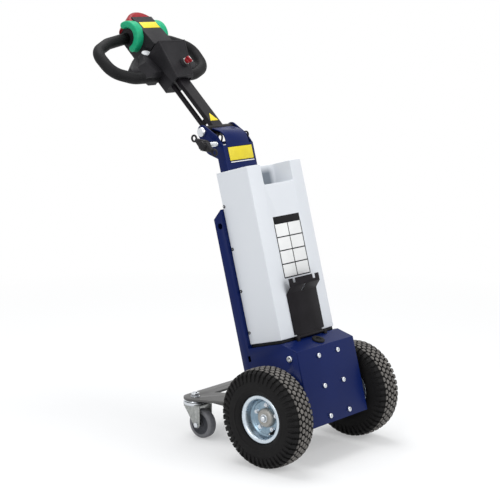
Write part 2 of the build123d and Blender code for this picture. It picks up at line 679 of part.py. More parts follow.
def arm_conduit():
    """Cable tube that runs up behind the arm into the handle clamp."""
    length = CLAMP_BOTTOM - CONDUIT_FOOT
    tube = Cylinder(CONDUIT_DIAMETER / 2, length, align=(Align.CENTER, Align.CENTER, Align.MIN))
    tube = Pos(CONDUIT_X, CONDUIT_FOOT, CONDUIT_RISE) * Rot(-90, 0, 0) * tube
    rise = ARM_REAR - CONDUIT_RISE
    clip = Box(CONDUIT_DIAMETER / 2, CONDUIT_DIAMETER, rise,
               align=(Align.CENTER, Align.MIN, Align.MIN))
    return tube + Pos(CONDUIT_X, CONDUIT_FOOT + BUSH_DIAMETER / 2, CONDUIT_RISE) * clip


def handle_clamp():
    """Block that clamps the handle head to the top of the arm."""
    depth = CLAMP_FRONT - CLAMP_REAR
    block = Box(CLAMP_WIDTH, CLAMP_TOP - CLAMP_BOTTOM, depth)
    block = fillet(block.edges().filter_by(Axis.Y), CLAMP_CORNER)
    block = Pos(0, (CLAMP_TOP + CLAMP_BOTTOM) / 2, (CLAMP_FRONT + CLAMP_REAR) / 2) * block
    block -= Pos(0, 0, (ARM_FRONT + ARM_REAR) / 2) * Box(
        ARM_WIDTH, 2 * ARM_TOP, ARM_FRONT - ARM_REAR)
    return block - grip_bar(GRIP_DIAMETER + 2 * SEAT_GAP)


def grip_path(side):
    """Centre line of one half of the grip loop, from the middle of its foot to the top."""
    corners = [
        (0, GRIP_FOOT), (GRIP_FOOT_HALF, GRIP_FOOT), (GRIP_HALF_LOW, GRIP_LOW),
        (GRIP_HALF_HIGH, GRIP_HIGH), (GRIP_SHOULDER_HALF, GRIP_SHOULDER), (GRIP_END_HALF, GRIP_END)]
    return FilletPolyline(*[(side * x, reach) for x, reach in corners], radius=GRIP_BENDS)


def grip_bar(diameter):
    """The closed loop of round tube that the operator holds."""
    loop = Part()
    for _, side in SIDES:
        path = grip_path(side)
        section = Plane(origin=path @ 0, z_dir=path % 0) * Circle(diameter / 2)
        loop += sweep(section, path)
    return Pos(0, 0, GRIP_RISE) * loop


def housing_plan(level):
    """Plan of the moulded housing at one level: 0 is its rear, 1 its middle, 2 its front."""
    waist = (HOUSING_WAIST_REAR, COWL_WIDTH / 2, COWL_WIDTH / 2)
    # Columns: reach, half width at that reach.
    table = (
        (HOUSING_FOOT, HOUSING_FOOT_HALF[level]), (GRIP_LOW, HOUSING_BAR_HALF[level]),
        (HOUSING_NECK, HOUSING_NECK_HALF[level]), (HOUSING_WAIST, waist[level]),
        (HOUSING_TOP, waist[level]))
    right = [(half, reach) for reach, half in table]
    left = [(-half, reach) for reach, half in reversed(table)]
    return make_face(Polyline(*right, *left, close=True))


def handle_housing():
    """Housing moulded round the grip loop, its sides sloping to a flat front and back."""
    rises = (HOUSING_REAR, HOUSING_MIDDLE, HOUSING_FRONT)
    plans = [Pos(0, 0, rise) * housing_plan(level) for level, rise in enumerate(rises)]
    body = loft(plans[:2], ruled=True) + loft(plans[1:], ruled=True)
    body -= grip_bar(GRIP_DIAMETER)
    clear = Box(CLAMP_WIDTH + 2 * SEAT_GAP, CLAMP_TOP - CLAMP_BOTTOM + SEAT_GAP,
                4 * (HOUSING_FRONT - HOUSING_REAR), align=(Align.CENTER, Align.MIN, Align.CENTER))
    return body - Pos(0, CLAMP_BOTTOM, 0) * clear


def handle_cowl():
    """Raised cowl on the housing's upper half, its face sloping down to the top."""
    side = Polyline(
        (COWL_BOTTOM, HOUSING_FRONT), (COWL_BOTTOM, COWL_RISE_BOTTOM),
        (HOUSING_TOP, COWL_RISE_TOP), (HOUSING_TOP, HOUSING_FRONT), close=True)
    cowl = across(make_face(side), COWL_WIDTH)
    return fillet(cowl.edges().group_by(Axis.Z)[-1], COWL_ROUND)


def belly_button():
    """Red reversing button that caps the end of the housing, round in plan."""
    centre = HOUSING_TOP + BUTTON_REACH - BUTTON_RADIUS
    depth = BUTTON_FRONT - BUTTON_REAR
    button = Pos(0, centre, BUTTON_REAR) * extrude(Circle(BUTTON_RADIUS), depth)
    button = fillet(button.edges().filter_by(GeomType.CIRCLE), BUTTON_ROUND)
    end = HOUSING_TOP + SEAT_GAP
    button -= Pos(0, end - BUTTON_RADIUS, 0) * Box(
        COWL_WIDTH + 2 * SEAT_GAP, 2 * BUTTON_RADIUS, 4 * depth)
    button -= Pos(0, centre - BUTTON_RADIUS, 0) * Box(4 * BUTTON_RADIUS, 2 * BUTTON_RADIUS, 4 * depth)
    reach, rise = THROTTLE_CENTRE
    clear = 2 * (THROTTLE_OUTER + BUTTON_GAP)
    for _, side in SIDES:
        button -= rod_x(clear, side * COWL_WIDTH / 2, side * 2 * BUTTON_RADIUS, reach, rise)
    return button - grip_bar(GRIP_DIAMETER + 2 * BUTTON_GAP)


def throttle(side):
    """Thumb lever curved round the end of the grip, seated on the side of the housing."""
    arc = CenterArc((0, 0), THROTTLE_OUTER - THROTTLE_THICKNESS / 2, THROTTLE_START, THROTTLE_SWEEP)
    ends = [arc @ 0, arc @ 1]
    paddle = trace_arc(arc, THROTTLE_THICKNESS, [(end.X, end.Y) for end in ends])
    middle = side * (COWL_WIDTH / 2 + SEAT_GAP + THROTTLE_WIDTH / 2)
    return Pos(0, *THROTTLE_CENTRE) * across(paddle, THROTTLE_WIDTH, middle)


def console_slope():
    """Rise of the console's face for each millimetre of reach."""
    return (CONSOLE_RISE_TOP - CONSOLE_RISE_BOTTOM) / (CONSOLE_TOP - CONSOLE_BOTTOM)


def switch_console():
    """Wedge-shaped switch box over the clamp and the housing, wider at its top."""
    plan = Polyline(
        (-CONSOLE_WIDTH_BOTTOM / 2, CONSOLE_BOTTOM), (CONSOLE_WIDTH_BOTTOM / 2, CONSOLE_BOTTOM),
        (CONSOLE_WIDTH_TOP / 2, CONSOLE_TOP), (-CONSOLE_WIDTH_TOP / 2, CONSOLE_TOP), close=True)
    box = Pos(0, 0, HOUSING_FRONT) * extrude(make_face(plan), CONSOLE_RISE_TOP)
    box -= Pos(0, CLAMP_TOP + SEAT_GAP, CLAMP_FRONT) * Box(
        CLAMP_WIDTH + 2 * SEAT_GAP, CLAMP_TOP, 2 * CLAMP_FRONT,
        align=(Align.CENTER, Align.MAX, Align.MAX))
    side = Polyline(
        (CONSOLE_BOTTOM - 1, CONSOLE_RISE_BOTTOM - console_slope()),
        (CONSOLE_TOP + 1, CONSOLE_RISE_TOP + console_slope()),
        (CONSOLE_TOP + 1, 3 * CONSOLE_RISE_TOP), (CONSOLE_BOTTOM - 1, 3 * CONSOLE_RISE_TOP),
        close=True)
    return box - across(make_face(side), 2 * CONSOLE_WIDTH_TOP)


def key_switch():
    """Switch with a collar and a knob, square to the console's face."""
    standing = (Align.CENTER, Align.CENTER, Align.MIN)
    collar = Cylinder(KEY_COLLAR_DIAMETER / 2, KEY_COLLAR_HEIGHT, align=standing)
    knob = Cylinder(KEY_KNOB_DIAMETER / 2, KEY_KNOB_HEIGHT, align=standing)
    knob = fillet(knob.edges().group_by(Axis.Z)[-1], KEY_KNOB_ROUND)
    rise = CONSOLE_RISE_BOTTOM + (KEY_REACH - CONSOLE_BOTTOM) * console_slope()
    switch = collar + Pos(0, 0, KEY_COLLAR_HEIGHT) * knob
    return Pos(KEY_X, KEY_REACH, rise) * Rot(degrees_of(console_slope()), 0, 0) * switch


def battery_gauge():
    """Oval charge gauge on the housing beside the console."""
    lens = extrude(Ellipse(GAUGE_SIZE[0] / 2, GAUGE_SIZE[1] / 2), GAUGE_HEIGHT)
    return Pos(GAUGE_X, GAUGE_REACH, HOUSING_FRONT) * lens


def wheel_section(table):
    """Face from a table of (across, radius) points, for turning about the wheel's axle."""
    return Plane.XZ * make_face(Polyline(*table, close=True))


def turned(face):
    """Turn a section about the X axis."""
    return revolve(face, Axis.X)


def tyre():
    """Balloon tyre with a flat tread and rounded shoulders, seated in the rim."""
    half, outer = TYRE_WIDTH / 2, TYRE_DIAMETER / 2
    lip = RIM_DIAMETER / 2 + SEAT_GAP
    seat = RIM_WIDTH / 2 - RIM_SHEET - SEAT_GAP
    flank = (lip + outer) / 2
    # Columns: place across the wheel, radius.
    outside = [
        (seat, BEAD_DIAMETER / 2 + SEAT_GAP), (seat, lip), (half - BEAD_INSET, lip + BEAD_RISE),
        (half, flank - FLANK_HEIGHT / 2), (half, flank + FLANK_HEIGHT / 2),
        (half - SHOULDER_INSET, outer - SHOULDER_DROP), (TREAD_WIDTH / 2, outer - TREAD_CROWN),
        (TREAD_FLAT / 2, outer)]
    table = outside + [(-place, radius) for place, radius in reversed(outside)]
    return turned(wheel_section(table))


def rim():
    """Two pressed halves back to back, as one turned solid with deep dishes."""
    half, lip = RIM_WIDTH / 2, RIM_DIAMETER / 2
    seat = BEAD_DIAMETER / 2
    inner = half - RIM_SHEET
    dish = seat - RIM_SHEET
    hub = HUB_DIAMETER / 2
    step = VALVE_RADIUS + VALVE_DIAMETER / 2 + SEAT_GAP
    # Columns: place across the wheel, radius.
    outer_half = [
        (RIM_SHEET, hub), (RIM_SHEET, step), (3 * RIM_SHEET, dish), (half - RIM_SHEET, dish),
        (half, dish + RIM_SHEET), (half, lip - RIM_LIP_ROUND), (half - RIM_LIP_ROUND / 2, lip),
        (inner, lip), (inner, seat)]
    table = outer_half + [(-place, radius) for place, radius in reversed(outer_half)]
    return turned(wheel_section(table))


def hub():
    """Hub with its cap and axle nut outside and the drive shaft inside; outside is +X."""
    radius, shaft = HUB_DIAMETER / 2, SHAFT_DIAMETER / 2
    inside = TRACK / 2 - HALF_BODY + SHEET + SHAFT_IN_BEARING
    nut = AXLE_NUT_DIAMETER / 2
    cap = HUB_OUT + CAP_THICKNESS
    neck = HUB_NECK * radius
    # Columns: place across the wheel, radius.
    table = [
        (-inside, 0), (-inside, shaft), (-2 * HUB_OUT - neck + shaft, shaft), (-2 * HUB_OUT, neck),
        (-HUB_OUT, neck), (-RIM_SHEET, radius), (HUB_OUT, radius), (cap, radius - CAP_THICKNESS),
        (cap, nut), (cap + AXLE_NUT_HEIGHT, nut), (cap + AXLE_NUT_HEIGHT, 0)]
    return turned(wheel_section(table))


def valve():
    """Rubber valve stem standing out of the rim's web."""
    stem = rod_x(VALVE_DIAMETER, RIM_SHEET, RIM_SHEET + VALVE_LENGTH)
    turn = radians(VALVE_ANGLE)
    return Pos(0, -VALVE_RADIUS * cos(turn), -VALVE_RADIUS * sin(turn)) * stem


def wheel_side(shape, side):
    """Put a wheel piece that faces +X at its side of the track."""
    if side < 0:
        shape = mirror(shape, Plane.YZ)
    return Pos(side * TRACK / 2, 0, AXLE_HEIGHT) * shape


def tail_bracket():
    """Strip across the back of the body that the tail plate is welded to."""
    height = BRACKET_TOP - BRACKET_BOTTOM
    depth = COLUMN_BACK + BRACKET_PLATE / 2
    strip = Box(BODY_WIDTH, BRACKET_PLATE, height)
    return leaned(Pos(0, depth, (BRACKET_TOP + BRACKET_BOTTOM) / 2) * strip)


def behind_bracket():
    """The space in front of the bracket's rear face, for cutting the tail plate flush."""
    rear = COLUMN_BACK + BRACKET_PLATE
    return leaned(Pos(0, rear, 0) * Box(
        4 * BODY_WIDTH, 4 * COLUMN_BACK, 8 * COLUMN_BACK,
        align=(Align.CENTER, Align.MAX, Align.CENTER)))


def tail_plate():
    """Flat plate with two round castor pads, a window and a gusset down each diagonal."""
    nose = Pos(0, COLUMN_BACK) * Rectangle(TAIL_NOSE_WIDTH, 2)
    pads = [Pos(side * PAD_X, PAD_Y) * Circle(PAD_RADIUS) for _, side in SIDES]
    outline = make_hull((nose + pads).edges())
    window = make_face(Polyline(
        (-WINDOW_WIDTH / 2, WINDOW_BACK), (WINDOW_WIDTH / 2, WINDOW_BACK), (0, WINDOW_FRONT),
        close=True))
    plate = Pos(0, 0, TAIL_TOP - TAIL_PLATE) * extrude(outline - window, TAIL_PLATE)
    for _, side in SIDES:
        plate += gusset(side)
        plate -= Pos(side * PAD_X, PAD_Y, TAIL_TOP) * Cylinder(KING_DIAMETER / 2, 4 * TAIL_PLATE)
    return plate - behind_bracket()


def gusset(side):
    """Flange under one diagonal, deep at the body and shallow at the castor."""
    front = Vector(side * (TAIL_NOSE_WIDTH / 2 - GUSSET_PLATE), COLUMN_BACK - BRACKET_PLATE, 0)
    back = Vector(side * (PAD_X - PAD_RADIUS / 3), PAD_Y - GUSSET_END, 0)
    run = back - front
    under = TAIL_TOP - TAIL_PLATE
    plane = Plane(origin=(front.X, front.Y, under), x_dir=run, z_dir=run.cross(Vector(0, 0, 1)))
    web = Polyline(
        (0, 0), (0, -GUSSET_DEEP), (run.length, -GUSSET_SHALLOW), (run.length, 0), close=True)
    return extrude(plane * make_face(web), GUSSET_PLATE / 2, both=True)


def castor_mount(side):
    """Kingpin with a race flange under the tail plate and a nut on top of it."""
    under = TAIL_TOP - TAIL_PLATE
    flange = under - KING_FLANGE
    crown = flange - 2 * THRUST_GAP - CROWN_DEPTH
    end = TAIL_TOP + KING_NUT_HEIGHT + KING_END
    # Columns: radius, height.
    table = [
        (0, crown - KING_HEAD), (KING_DIAMETER, crown - KING_HEAD), (KING_DIAMETER, crown),
        (KING_DIAMETER / 2, crown), (KING_DIAMETER / 2, flange), (KING_FLANGE_DIAMETER / 2, flange),
        (KING_FLANGE_DIAMETER / 2, under), (KING_DIAMETER / 2, under), (KING_DIAMETER / 2, TAIL_TOP),
        (KING_NUT_DIAMETER / 2, TAIL_TOP), (KING_NUT_DIAMETER / 2, TAIL_TOP + KING_NUT_HEIGHT),
        (KING_DIAMETER / 2, TAIL_TOP + KING_NUT_HEIGHT), (KING_DIAMETER / 2, end), (0, end)]
    pin = revolve(Plane.XZ * make_face(Polyline(*table, close=True)), Axis.Z)
    return Pos(side * PAD_X, PAD_Y, 0) * pin


def castor_fork(side):
    """Pressed fork that turns on the kingpin, with the wheel's axle bolt through its legs."""
    top = TAIL_TOP - TAIL_PLATE - KING_FLANGE - THRUST_GAP
    axle = CASTOR_DIAMETER / 2
    crown = Pos(0, 0, top - CROWN_DEPTH / 2) * Cylinder(FORK_CROWN_DIAMETER / 2, CROWN_DEPTH)
    leg = make_hull((
        Pos(-CASTOR_TRAIL, axle) * Circle(FORK_EYE_RADIUS)
        + Pos(FORK_LEG_SHIFT, top - CROWN_DEPTH / 2) * Rectangle(FORK_LEG_TOP, CROWN_DEPTH)).edges())
    inner = CASTOR_WIDTH / 2 + FORK_SIDE_GAP
    fork = crown
    for _, way in SIDES:
        fork += across(leg, FORK_SHEET, way * (inner + FORK_SHEET / 2))
    bolt_end = inner + 3 * FORK_SHEET
    fork += rod_x(CASTOR_AXLE_DIAMETER, -bolt_end, bolt_end, -CASTOR_TRAIL, axle)
    for _, way in SIDES:
        outer = way * (inner + FORK_SHEET)
        fork += rod_x(CASTOR_NUT_DIAMETER, outer, way * bolt_end, -CASTOR_TRAIL, axle)
    fork -= Pos(0, 0, top) * Cylinder(KING_DIAMETER / 2 + RUNNING_CLEARANCE, 4 * CROWN_DEPTH)
    return Pos(side * PAD_X, PAD_Y, 0) * fork


def castor_wheel(side, inner, outer, width):
    """One ring of the castor's wheel, with its outer edges chamfered."""
    half = width / 2
    # Columns: place across the wheel, radius.
    table = [
        (-half, inner), (-half, outer - CASTOR_CHAMFER), (CASTOR_CHAMFER - half, outer),
        (half - CASTOR_CHAMFER, outer), (half, outer - CASTOR_CHAMFER), (half, inner)]
    ring = turned(wheel_section(table))
    return Pos(side * PAD_X, PAD_Y - CASTOR_TRAIL, CASTOR_DIAMETER / 2) * ring


def castor_hub(side):
    """Hub of the castor's wheel on its axle bolt."""
    bore = CASTOR_AXLE_DIAMETER / 2 + RUNNING_CLEARANCE
    outer = CASTOR_DIAMETER / 2 - CASTOR_TREAD
    return castor_wheel(side, bore, outer, CASTOR_WIDTH - 2 * CASTOR_HUB_INSET)


def castor_tyre(side):
    """Rubber tread ring of the castor's wheel."""
    inner = CASTOR_DIAMETER / 2 - CASTOR_TREAD + SEAT_GAP
    return castor_wheel(side, inner, CASTOR_DIAMETER / 2, CASTOR_WIDTH)


leaning = {
    "chassis": chassis(), "rear_cover": rear_cover(), "gearbox": gearbox(),
    "drive_motor": drive_motor(), "battery_tray": battery_tray(), "battery_case": battery_case(),
    "latch_hinge": latch_hinge(), "battery_latch": battery_latch(),
    "cable_grommet": cable_grommet(), "hitch_bolts": hitch_bolts(), "side_bolts": side_bolts(),
    "column_head": column_head(), "pivot_bolt": pivot_bolt(), "clamp_stud": clamp_stud(),
    "clamp_knob": clamp_knob()}
on_tiller = {
    "tiller_arm": tiller_arm(), "arm_conduit": arm_conduit(), "handle_clamp": handle_clamp(),
    "grip_loop": grip_bar(GRIP_DIAMETER), "handle_housing": handle_housing(),
    "handle_cowl": handle_cowl(), "belly_button": belly_button(),
    "switch_console": switch_console(), "key_switch": key_switch(),
    "battery_gauge": battery_gauge()}
nodes = {name: leaned(shape) for name, shape in leaning.items()}
nodes.update({name: on_arm(shape) for name, shape in on_tiller.items()})
nodes["tail_bracket"] = tail_bracket()
nodes["tail_plate"] = tail_plate()
for name, side in SIDES:
    nodes[f"throttle_{name}"] = on_arm(throttle(side))
    nodes[f"tyre_{name}"] = wheel_side(tyre(), side)
    nodes[f"rim_{name}"] = wheel_side(rim(), side)
    nodes[f"hub_{name}"] = wheel_side(hub(), side)
    nodes[f"valve_{name}"] = wheel_side(valve(), side)
    nodes[f"castor_mount_{name}"] = castor_mount(side)
    nodes[f"castor_fork_{name}"] = castor_fork(side)
    nodes[f"castor_hub_{name}"] = castor_hub(side)
    nodes[f"castor_tyre_{name}"] = castor_tyre(side)

# The origin goes to the middle of the machine's length on the floor.
boxes = [shape.bounding_box() for shape in nodes.values()]
front_end = min(box.min.Y for box in boxes)
rear_end = max(box.max.Y for box in boxes)
ORIGIN_Y = (front_end + rear_end) / 2

os.makedirs("parts", exist_ok=True)
for name, shape in nodes.items():
    export_step(Pos(0, -ORIGIN_Y, 0) * shape, f"parts/{name}.step")
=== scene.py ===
"""Electric tow tractor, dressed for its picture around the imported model. Places on the objects
are in millimetres in the tables and calls, and in metres in Blender."""

from math import cos, pi, radians, sin, tau

import bpy
from mathutils import Matrix, Vector
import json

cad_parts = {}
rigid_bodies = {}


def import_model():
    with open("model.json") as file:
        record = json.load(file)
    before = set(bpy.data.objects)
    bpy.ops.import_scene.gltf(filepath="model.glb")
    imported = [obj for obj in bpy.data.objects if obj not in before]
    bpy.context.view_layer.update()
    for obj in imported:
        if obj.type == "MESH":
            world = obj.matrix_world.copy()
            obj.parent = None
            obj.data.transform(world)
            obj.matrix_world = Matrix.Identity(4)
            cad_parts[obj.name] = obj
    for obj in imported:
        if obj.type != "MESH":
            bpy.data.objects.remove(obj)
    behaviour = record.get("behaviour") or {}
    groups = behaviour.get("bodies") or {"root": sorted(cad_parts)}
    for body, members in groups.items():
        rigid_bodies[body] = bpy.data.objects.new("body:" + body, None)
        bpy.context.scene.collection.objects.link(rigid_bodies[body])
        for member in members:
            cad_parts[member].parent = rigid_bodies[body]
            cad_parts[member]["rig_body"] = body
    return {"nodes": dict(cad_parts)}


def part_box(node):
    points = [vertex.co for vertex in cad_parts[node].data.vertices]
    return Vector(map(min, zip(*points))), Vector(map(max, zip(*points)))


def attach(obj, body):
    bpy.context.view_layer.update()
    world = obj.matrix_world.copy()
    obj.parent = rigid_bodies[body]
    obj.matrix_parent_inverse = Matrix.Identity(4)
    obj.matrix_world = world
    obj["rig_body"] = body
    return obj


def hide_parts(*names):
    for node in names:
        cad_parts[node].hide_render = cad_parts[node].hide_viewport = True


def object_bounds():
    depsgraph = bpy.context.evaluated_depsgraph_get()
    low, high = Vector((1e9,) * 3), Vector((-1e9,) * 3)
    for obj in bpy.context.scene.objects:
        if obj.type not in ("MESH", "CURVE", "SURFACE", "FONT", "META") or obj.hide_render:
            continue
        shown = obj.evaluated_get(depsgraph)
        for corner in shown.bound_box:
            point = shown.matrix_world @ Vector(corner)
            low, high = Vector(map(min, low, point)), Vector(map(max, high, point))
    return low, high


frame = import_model()
cad_low, cad_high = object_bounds()

# Chassis, rear cover and tail bracket: folded and welded sheet steel, 3 mm thick, powder
# coated in one deep blue with the slight orange peel that such a coat has.
MM = 0.001
LEAN = 15.1
BLUE = (0.0018, 0.0085, 0.068)
BLUE_PALE = (0.0034, 0.0125, 0.092)
PEEL_SCALE = 420.0

wheel_low, wheel_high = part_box("tyre_right")
AXLE = (wheel_low + wheel_high) / 2
BODY = Matrix.Translation((0, AXLE.y, AXLE.z)) @ Matrix.Rotation(radians(-LEAN), 4, "X")
# Turn a piece made along X to stand on Z, and one that stands on Z to lie along X.
UPWARD = Matrix.Rotation(-pi / 2, 4, "Y")
SIDEWAYS = Matrix.Rotation(pi / 2, 4, "Y")


class Wire:
    """A shader socket that takes Python's arithmetic and adds the Math nodes for it."""

    def __init__(self, tree, socket=None):
        self.tree = tree
        self.socket = socket

    def add(self, kind, settings=None, sockets=None, output=0):
        """Add a node: its settings first, then the values or links of its sockets."""
        node = self.tree.nodes.new(kind)
        for name, value in (settings or {}).items():
            setattr(node, name, value)
        for name, value in (sockets or {}).items():
            if isinstance(value, Wire):
                self.tree.links.new(value.socket, node.inputs[name])
            else:
                node.inputs[name].default_value = value
        return Wire(self.tree, node.outputs[output] if len(node.outputs) else None)

    def maths(self, operation, *terms):
        """The result of a Math node on some values or wires."""
        return self.add("ShaderNodeMath", {"operation": operation}, dict(enumerate(terms)))

    def __add__(self, other):
        return self.maths("ADD", self, other)

    def __radd__(self, other):
        return self.maths("ADD", other, self)

    def __sub__(self, other):
        return self.maths("SUBTRACT", self, other)

    def __rsub__(self, other):
        return self.maths("SUBTRACT", other, self)

    def __mul__(self, other):
        return self.maths("MULTIPLY", self, other)

    def __rmul__(self, other):
        return self.maths("MULTIPLY", other, self)

    def __truediv__(self, other):
        return self.maths("DIVIDE", self, other)

    def __pow__(self, other):
        return self.maths("POWER", self, other)

    def clamp(self, low=0.0, high=1.0):
        """This value between two limits."""
        return self.add("ShaderNodeClamp", None, {"Value": self, "Min": low, "Max": high})

    def above(self, edge, soft):
        """0 below an edge and 1 above it, with a soft step of the given width."""
        return ((self - (edge - soft / 2)) / soft).clamp()

    def tint(self, first, second):
        """The first colour where this value is 0, the second where it is 1."""
        ends = {6: (*first, 1) if isinstance(first, tuple) else first,
                7: (*second, 1) if isinstance(second, tuple) else second}
        return self.add("ShaderNodeMix", {"data_type": "RGBA"}, {0: self, **ends}, output=2)

    def place(self, axis):
        """How far along X, Y or Z a point of the piece lies, in metres."""
        spot = self.add("ShaderNodeTexCoord", output="Object")
        return self.add("ShaderNodeSeparateXYZ", None, {0: spot}, output=axis)

    def from_axle(self):
        """How far a point lies from the axle of the drive wheels, in metres."""
        return ((self.place(1) - AXLE.y) ** 2.0 + (self.place(2) - AXLE.z) ** 2.0) ** 0.5

    def noise(self, scale, detail=2.0, stretch=(1, 1, 1)):
        """Noise over the piece, with a scale in cells for each metre."""
        spot = self.add("ShaderNodeTexCoord", output="Object")
        spot = self.add("ShaderNodeMapping", None, {"Vector": spot, "Scale": stretch})
        grain = {"Vector": spot, "Scale": scale, "Detail": detail}
        return self.add("ShaderNodeTexNoise", None, grain)

    def bump(self, strength, distance):
        """A normal from this value as a height."""
        sockets = {"Height": self, "Strength": strength, "Distance": distance}
        return self.add("ShaderNodeBump", None, sockets)


def new_finish(name):
    """An empty material and a wire to build it with."""
    material = bpy.data.materials.new(name)
    material.use_nodes = True
    material.node_tree.nodes.clear()
    return material, Wire(material.node_tree)


def surface(wire, sockets):
    """Close a material with the shader that carries these sockets."""
    shader = wire.add("ShaderNodeBsdfPrincipled", None, sockets)
    wire.add("ShaderNodeOutputMaterial", None, {"Surface": shader})


def finish(name, dark, pale, clouds, grain, depth, rough, shine=None):
    """A finish whose colour drifts in clouds, with a fine grain that roughens it."""
    material, wire = new_finish(name)
    fine = wire.noise(grain, 2.0)
    surface(wire, {
        "Base Color": wire.noise(clouds, 3.0).above(0.5, 0.5).tint(dark, pale),
        "Roughness": rough + 0.16 * fine,
        "Normal": fine.bump(0.3, depth),
        **(shine or {})})
    return material


def only(*pieces):
    """Select these pieces and nothing else, the first of them as the active one."""
    bpy.ops.object.select_all(action="DESELECT")
    for piece in pieces:
        piece.select_set(True)
    bpy.context.view_layer.objects.active = pieces[0]
    return pieces[0]


def rounded(piece, width, segments=2, angle=35):
    """Round the edges of a piece that are sharper than an angle."""
    bevel = piece.modifiers.new("Bevel", "BEVEL")
    bevel.width = width * MM
    bevel.segments = segments
    bevel.limit_method = "ANGLE"
    bevel.angle_limit = radians(angle)
    only(piece)
    bpy.ops.object.modifier_apply(modifier=bevel.name)
    return piece


def dress(piece, material, body, slot, *replaced, angle=35):
    """Give a finished piece its smoothing, material, body and the nodes it stands for, which are
    hidden. The slot is not used.
    """
    only(piece)
    bpy.ops.object.shade_smooth_by_angle(angle=radians(angle))
    piece.data.materials.clear()
    piece.data.materials.append(material)
    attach(piece, body)
    if replaced:
        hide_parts(*replaced)
    return piece


def solid_copy(node):
    """A copy of a node with its triangles merged back into faces."""
    source = frame["nodes"][node]
    piece = bpy.data.objects.new(node + "_dressed", source.data.copy())
    bpy.context.scene.collection.objects.link(piece)
    only(piece)
    bpy.ops.object.mode_set(mode="EDIT")
    bpy.ops.mesh.select_all(action="SELECT")
    bpy.ops.mesh.remove_doubles(threshold=0.00001)
    bpy.ops.mesh.dissolve_limited(angle_limit=radians(0.5))
    bpy.ops.object.mode_set(mode="OBJECT")
    return piece


def softened(node, material, slot, width, segments=2, angle=35):
    """A copy of a node with its corners rounded, which stands for it."""
    piece = rounded(solid_copy(node), width, segments, angle)
    return dress(piece, material, frame["nodes"][node]["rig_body"], slot, node, angle=angle)


blue_paint, wire = new_finish("blue powder coat")
clouds = wire.noise(6.0, 3.0)
peel = wire.noise(PEEL_SCALE, 1.0)
surface(wire, {
    "Base Color": clouds.above(0.5, 0.6).tint(BLUE, BLUE_PALE),
    "Roughness": 0.27 + 0.12 * clouds,
    "Specular IOR Level": 0.10,
    "Coat Weight": 0.02 + 0.05 * clouds,
    "Coat Roughness": 0.15,
    "Normal": peel.bump(0.1, 0.0004)})

for node in ("chassis", "rear_cover", "tail_bracket"):
    softened(node, blue_paint, "blue_paint", width=0.7)

# Drive unit between the wheels: a plain grey casting with the motor standing on it. Both are
# sand cast and left rough.
cast_grey = finish("grey casting", (0.10, 0.105, 0.11), (0.17, 0.175, 0.18),
                   clouds=30.0, grain=600.0, depth=0.0006, rough=0.5,
                   shine={"Metallic": 0.4})
for node in ("gearbox", "drive_motor"):
    softened(node, cast_grey, "cast_grey", width=0.8)

# Tyres of the 3.00-4 block tread size: a black balloon carcass with five rows of small worn
# blocks, staggered by half a pitch, and two rows of ribs that run down each shoulder.
TRACK = 363.0
PITCHES = 48
WHEEL_STEPS = 96
# Columns: place across the tyre, radius. Half a section, from the bead out to the crown.
CARCASS = (
    (26.9, 54.2), (27.2, 61.0), (27.3, 63.6), (30.0, 64.4), (31.8, 65.6), (33.6, 66.8),
    (36.2, 69.6), (38.4, 74.5), (38.9, 76.6), (39.9, 77.0), (40.2, 78.6), (39.7, 80.2),
    (40.0, 84.0), (40.1, 90.0), (39.3, 97.0), (37.8, 104.0), (35.8, 110.0), (33.0, 115.6),
    (29.4, 119.6), (25.0, 122.2), (19.0, 124.0), (10.0, 125.2), (0.0, 125.5))
# Columns: place across, radius of the block's top, tilt, half width, length round the tyre.
BLOCK_ROWS = (
    (0.0, 129.7, 0.0, 4.7, 13.4), (11.7, 129.3, 4.0, 4.7, 13.4), (23.2, 127.6, 12.0, 5.0, 13.4))
BLOCK_TALL = 7.5
BLOCK_EDGE = 1.1
# Columns: place across, radius, tilt, size across the face, round the tyre and in depth.
SHOULDER_RIBS = ((33.6, 121.9, 42.0, 11.5, 10.4, 8.0), (39.3, 108.6, 79.0, 20.0, 6.8, 5.0))
RIB_EDGE = 1.3
# Radius from which the rubber is worn grey, and how soft that change is, in metres.
WORN_FROM = 0.1271
WORN_SOFT = 0.0014


def spun(profile, steps=64):
    """A shape turned about X from a closed line of (along, radius) points."""
    bpy.ops.object.select_all(action="DESELECT")
    bpy.ops.mesh.primitive_circle_add(vertices=len(profile), fill_type="NOTHING")
    piece = bpy.context.object
    for vertex, (along, radius) in zip(piece.data.vertices, profile):
        vertex.co = (along * MM, 0, radius * MM)
    bpy.ops.object.mode_set(mode="EDIT")
    bpy.ops.mesh.select_all(action="SELECT")
    bpy.ops.mesh.spin(steps=steps, angle=tau, center=(0, 0, 0), axis=(1, 0, 0))
    bpy.ops.mesh.select_all(action="SELECT")
    bpy.ops.mesh.remove_doubles(threshold=0.000005)
    bpy.ops.mesh.delete_loose()
    bpy.ops.mesh.select_all(action="SELECT")
    bpy.ops.mesh.normals_make_consistent(inside=False)
    bpy.ops.object.mode_set(mode="OBJECT")
    return piece


def slab(size, middle=(0, 0, 0), edge=0.0, segments=2):
    """A box of a size about a middle, with rounded edges."""
    bpy.ops.object.select_all(action="DESELECT")
    bpy.ops.mesh.primitive_cube_add(size=1, location=[place * MM for place in middle])
    piece = bpy.context.object
    piece.scale = [length * MM for length in size]
    bpy.ops.object.transform_apply(location=True, rotation=True, scale=True)
    return rounded(piece, edge, segments) if edge else piece


def prism(sides, radius, height, middle=(0, 0, 0), edge=0.0):
    """A prism that stands on Z, with one corner towards Y."""
    bpy.ops.object.select_all(action="DESELECT")
    bpy.ops.mesh.primitive_cylinder_add(vertices=sides, radius=radius * MM, depth=height * MM,
                                        location=[place * MM for place in middle])
    piece = bpy.context.object
    bpy.ops.object.transform_apply(location=True, rotation=True, scale=True)
    return rounded(piece, edge) if edge else piece


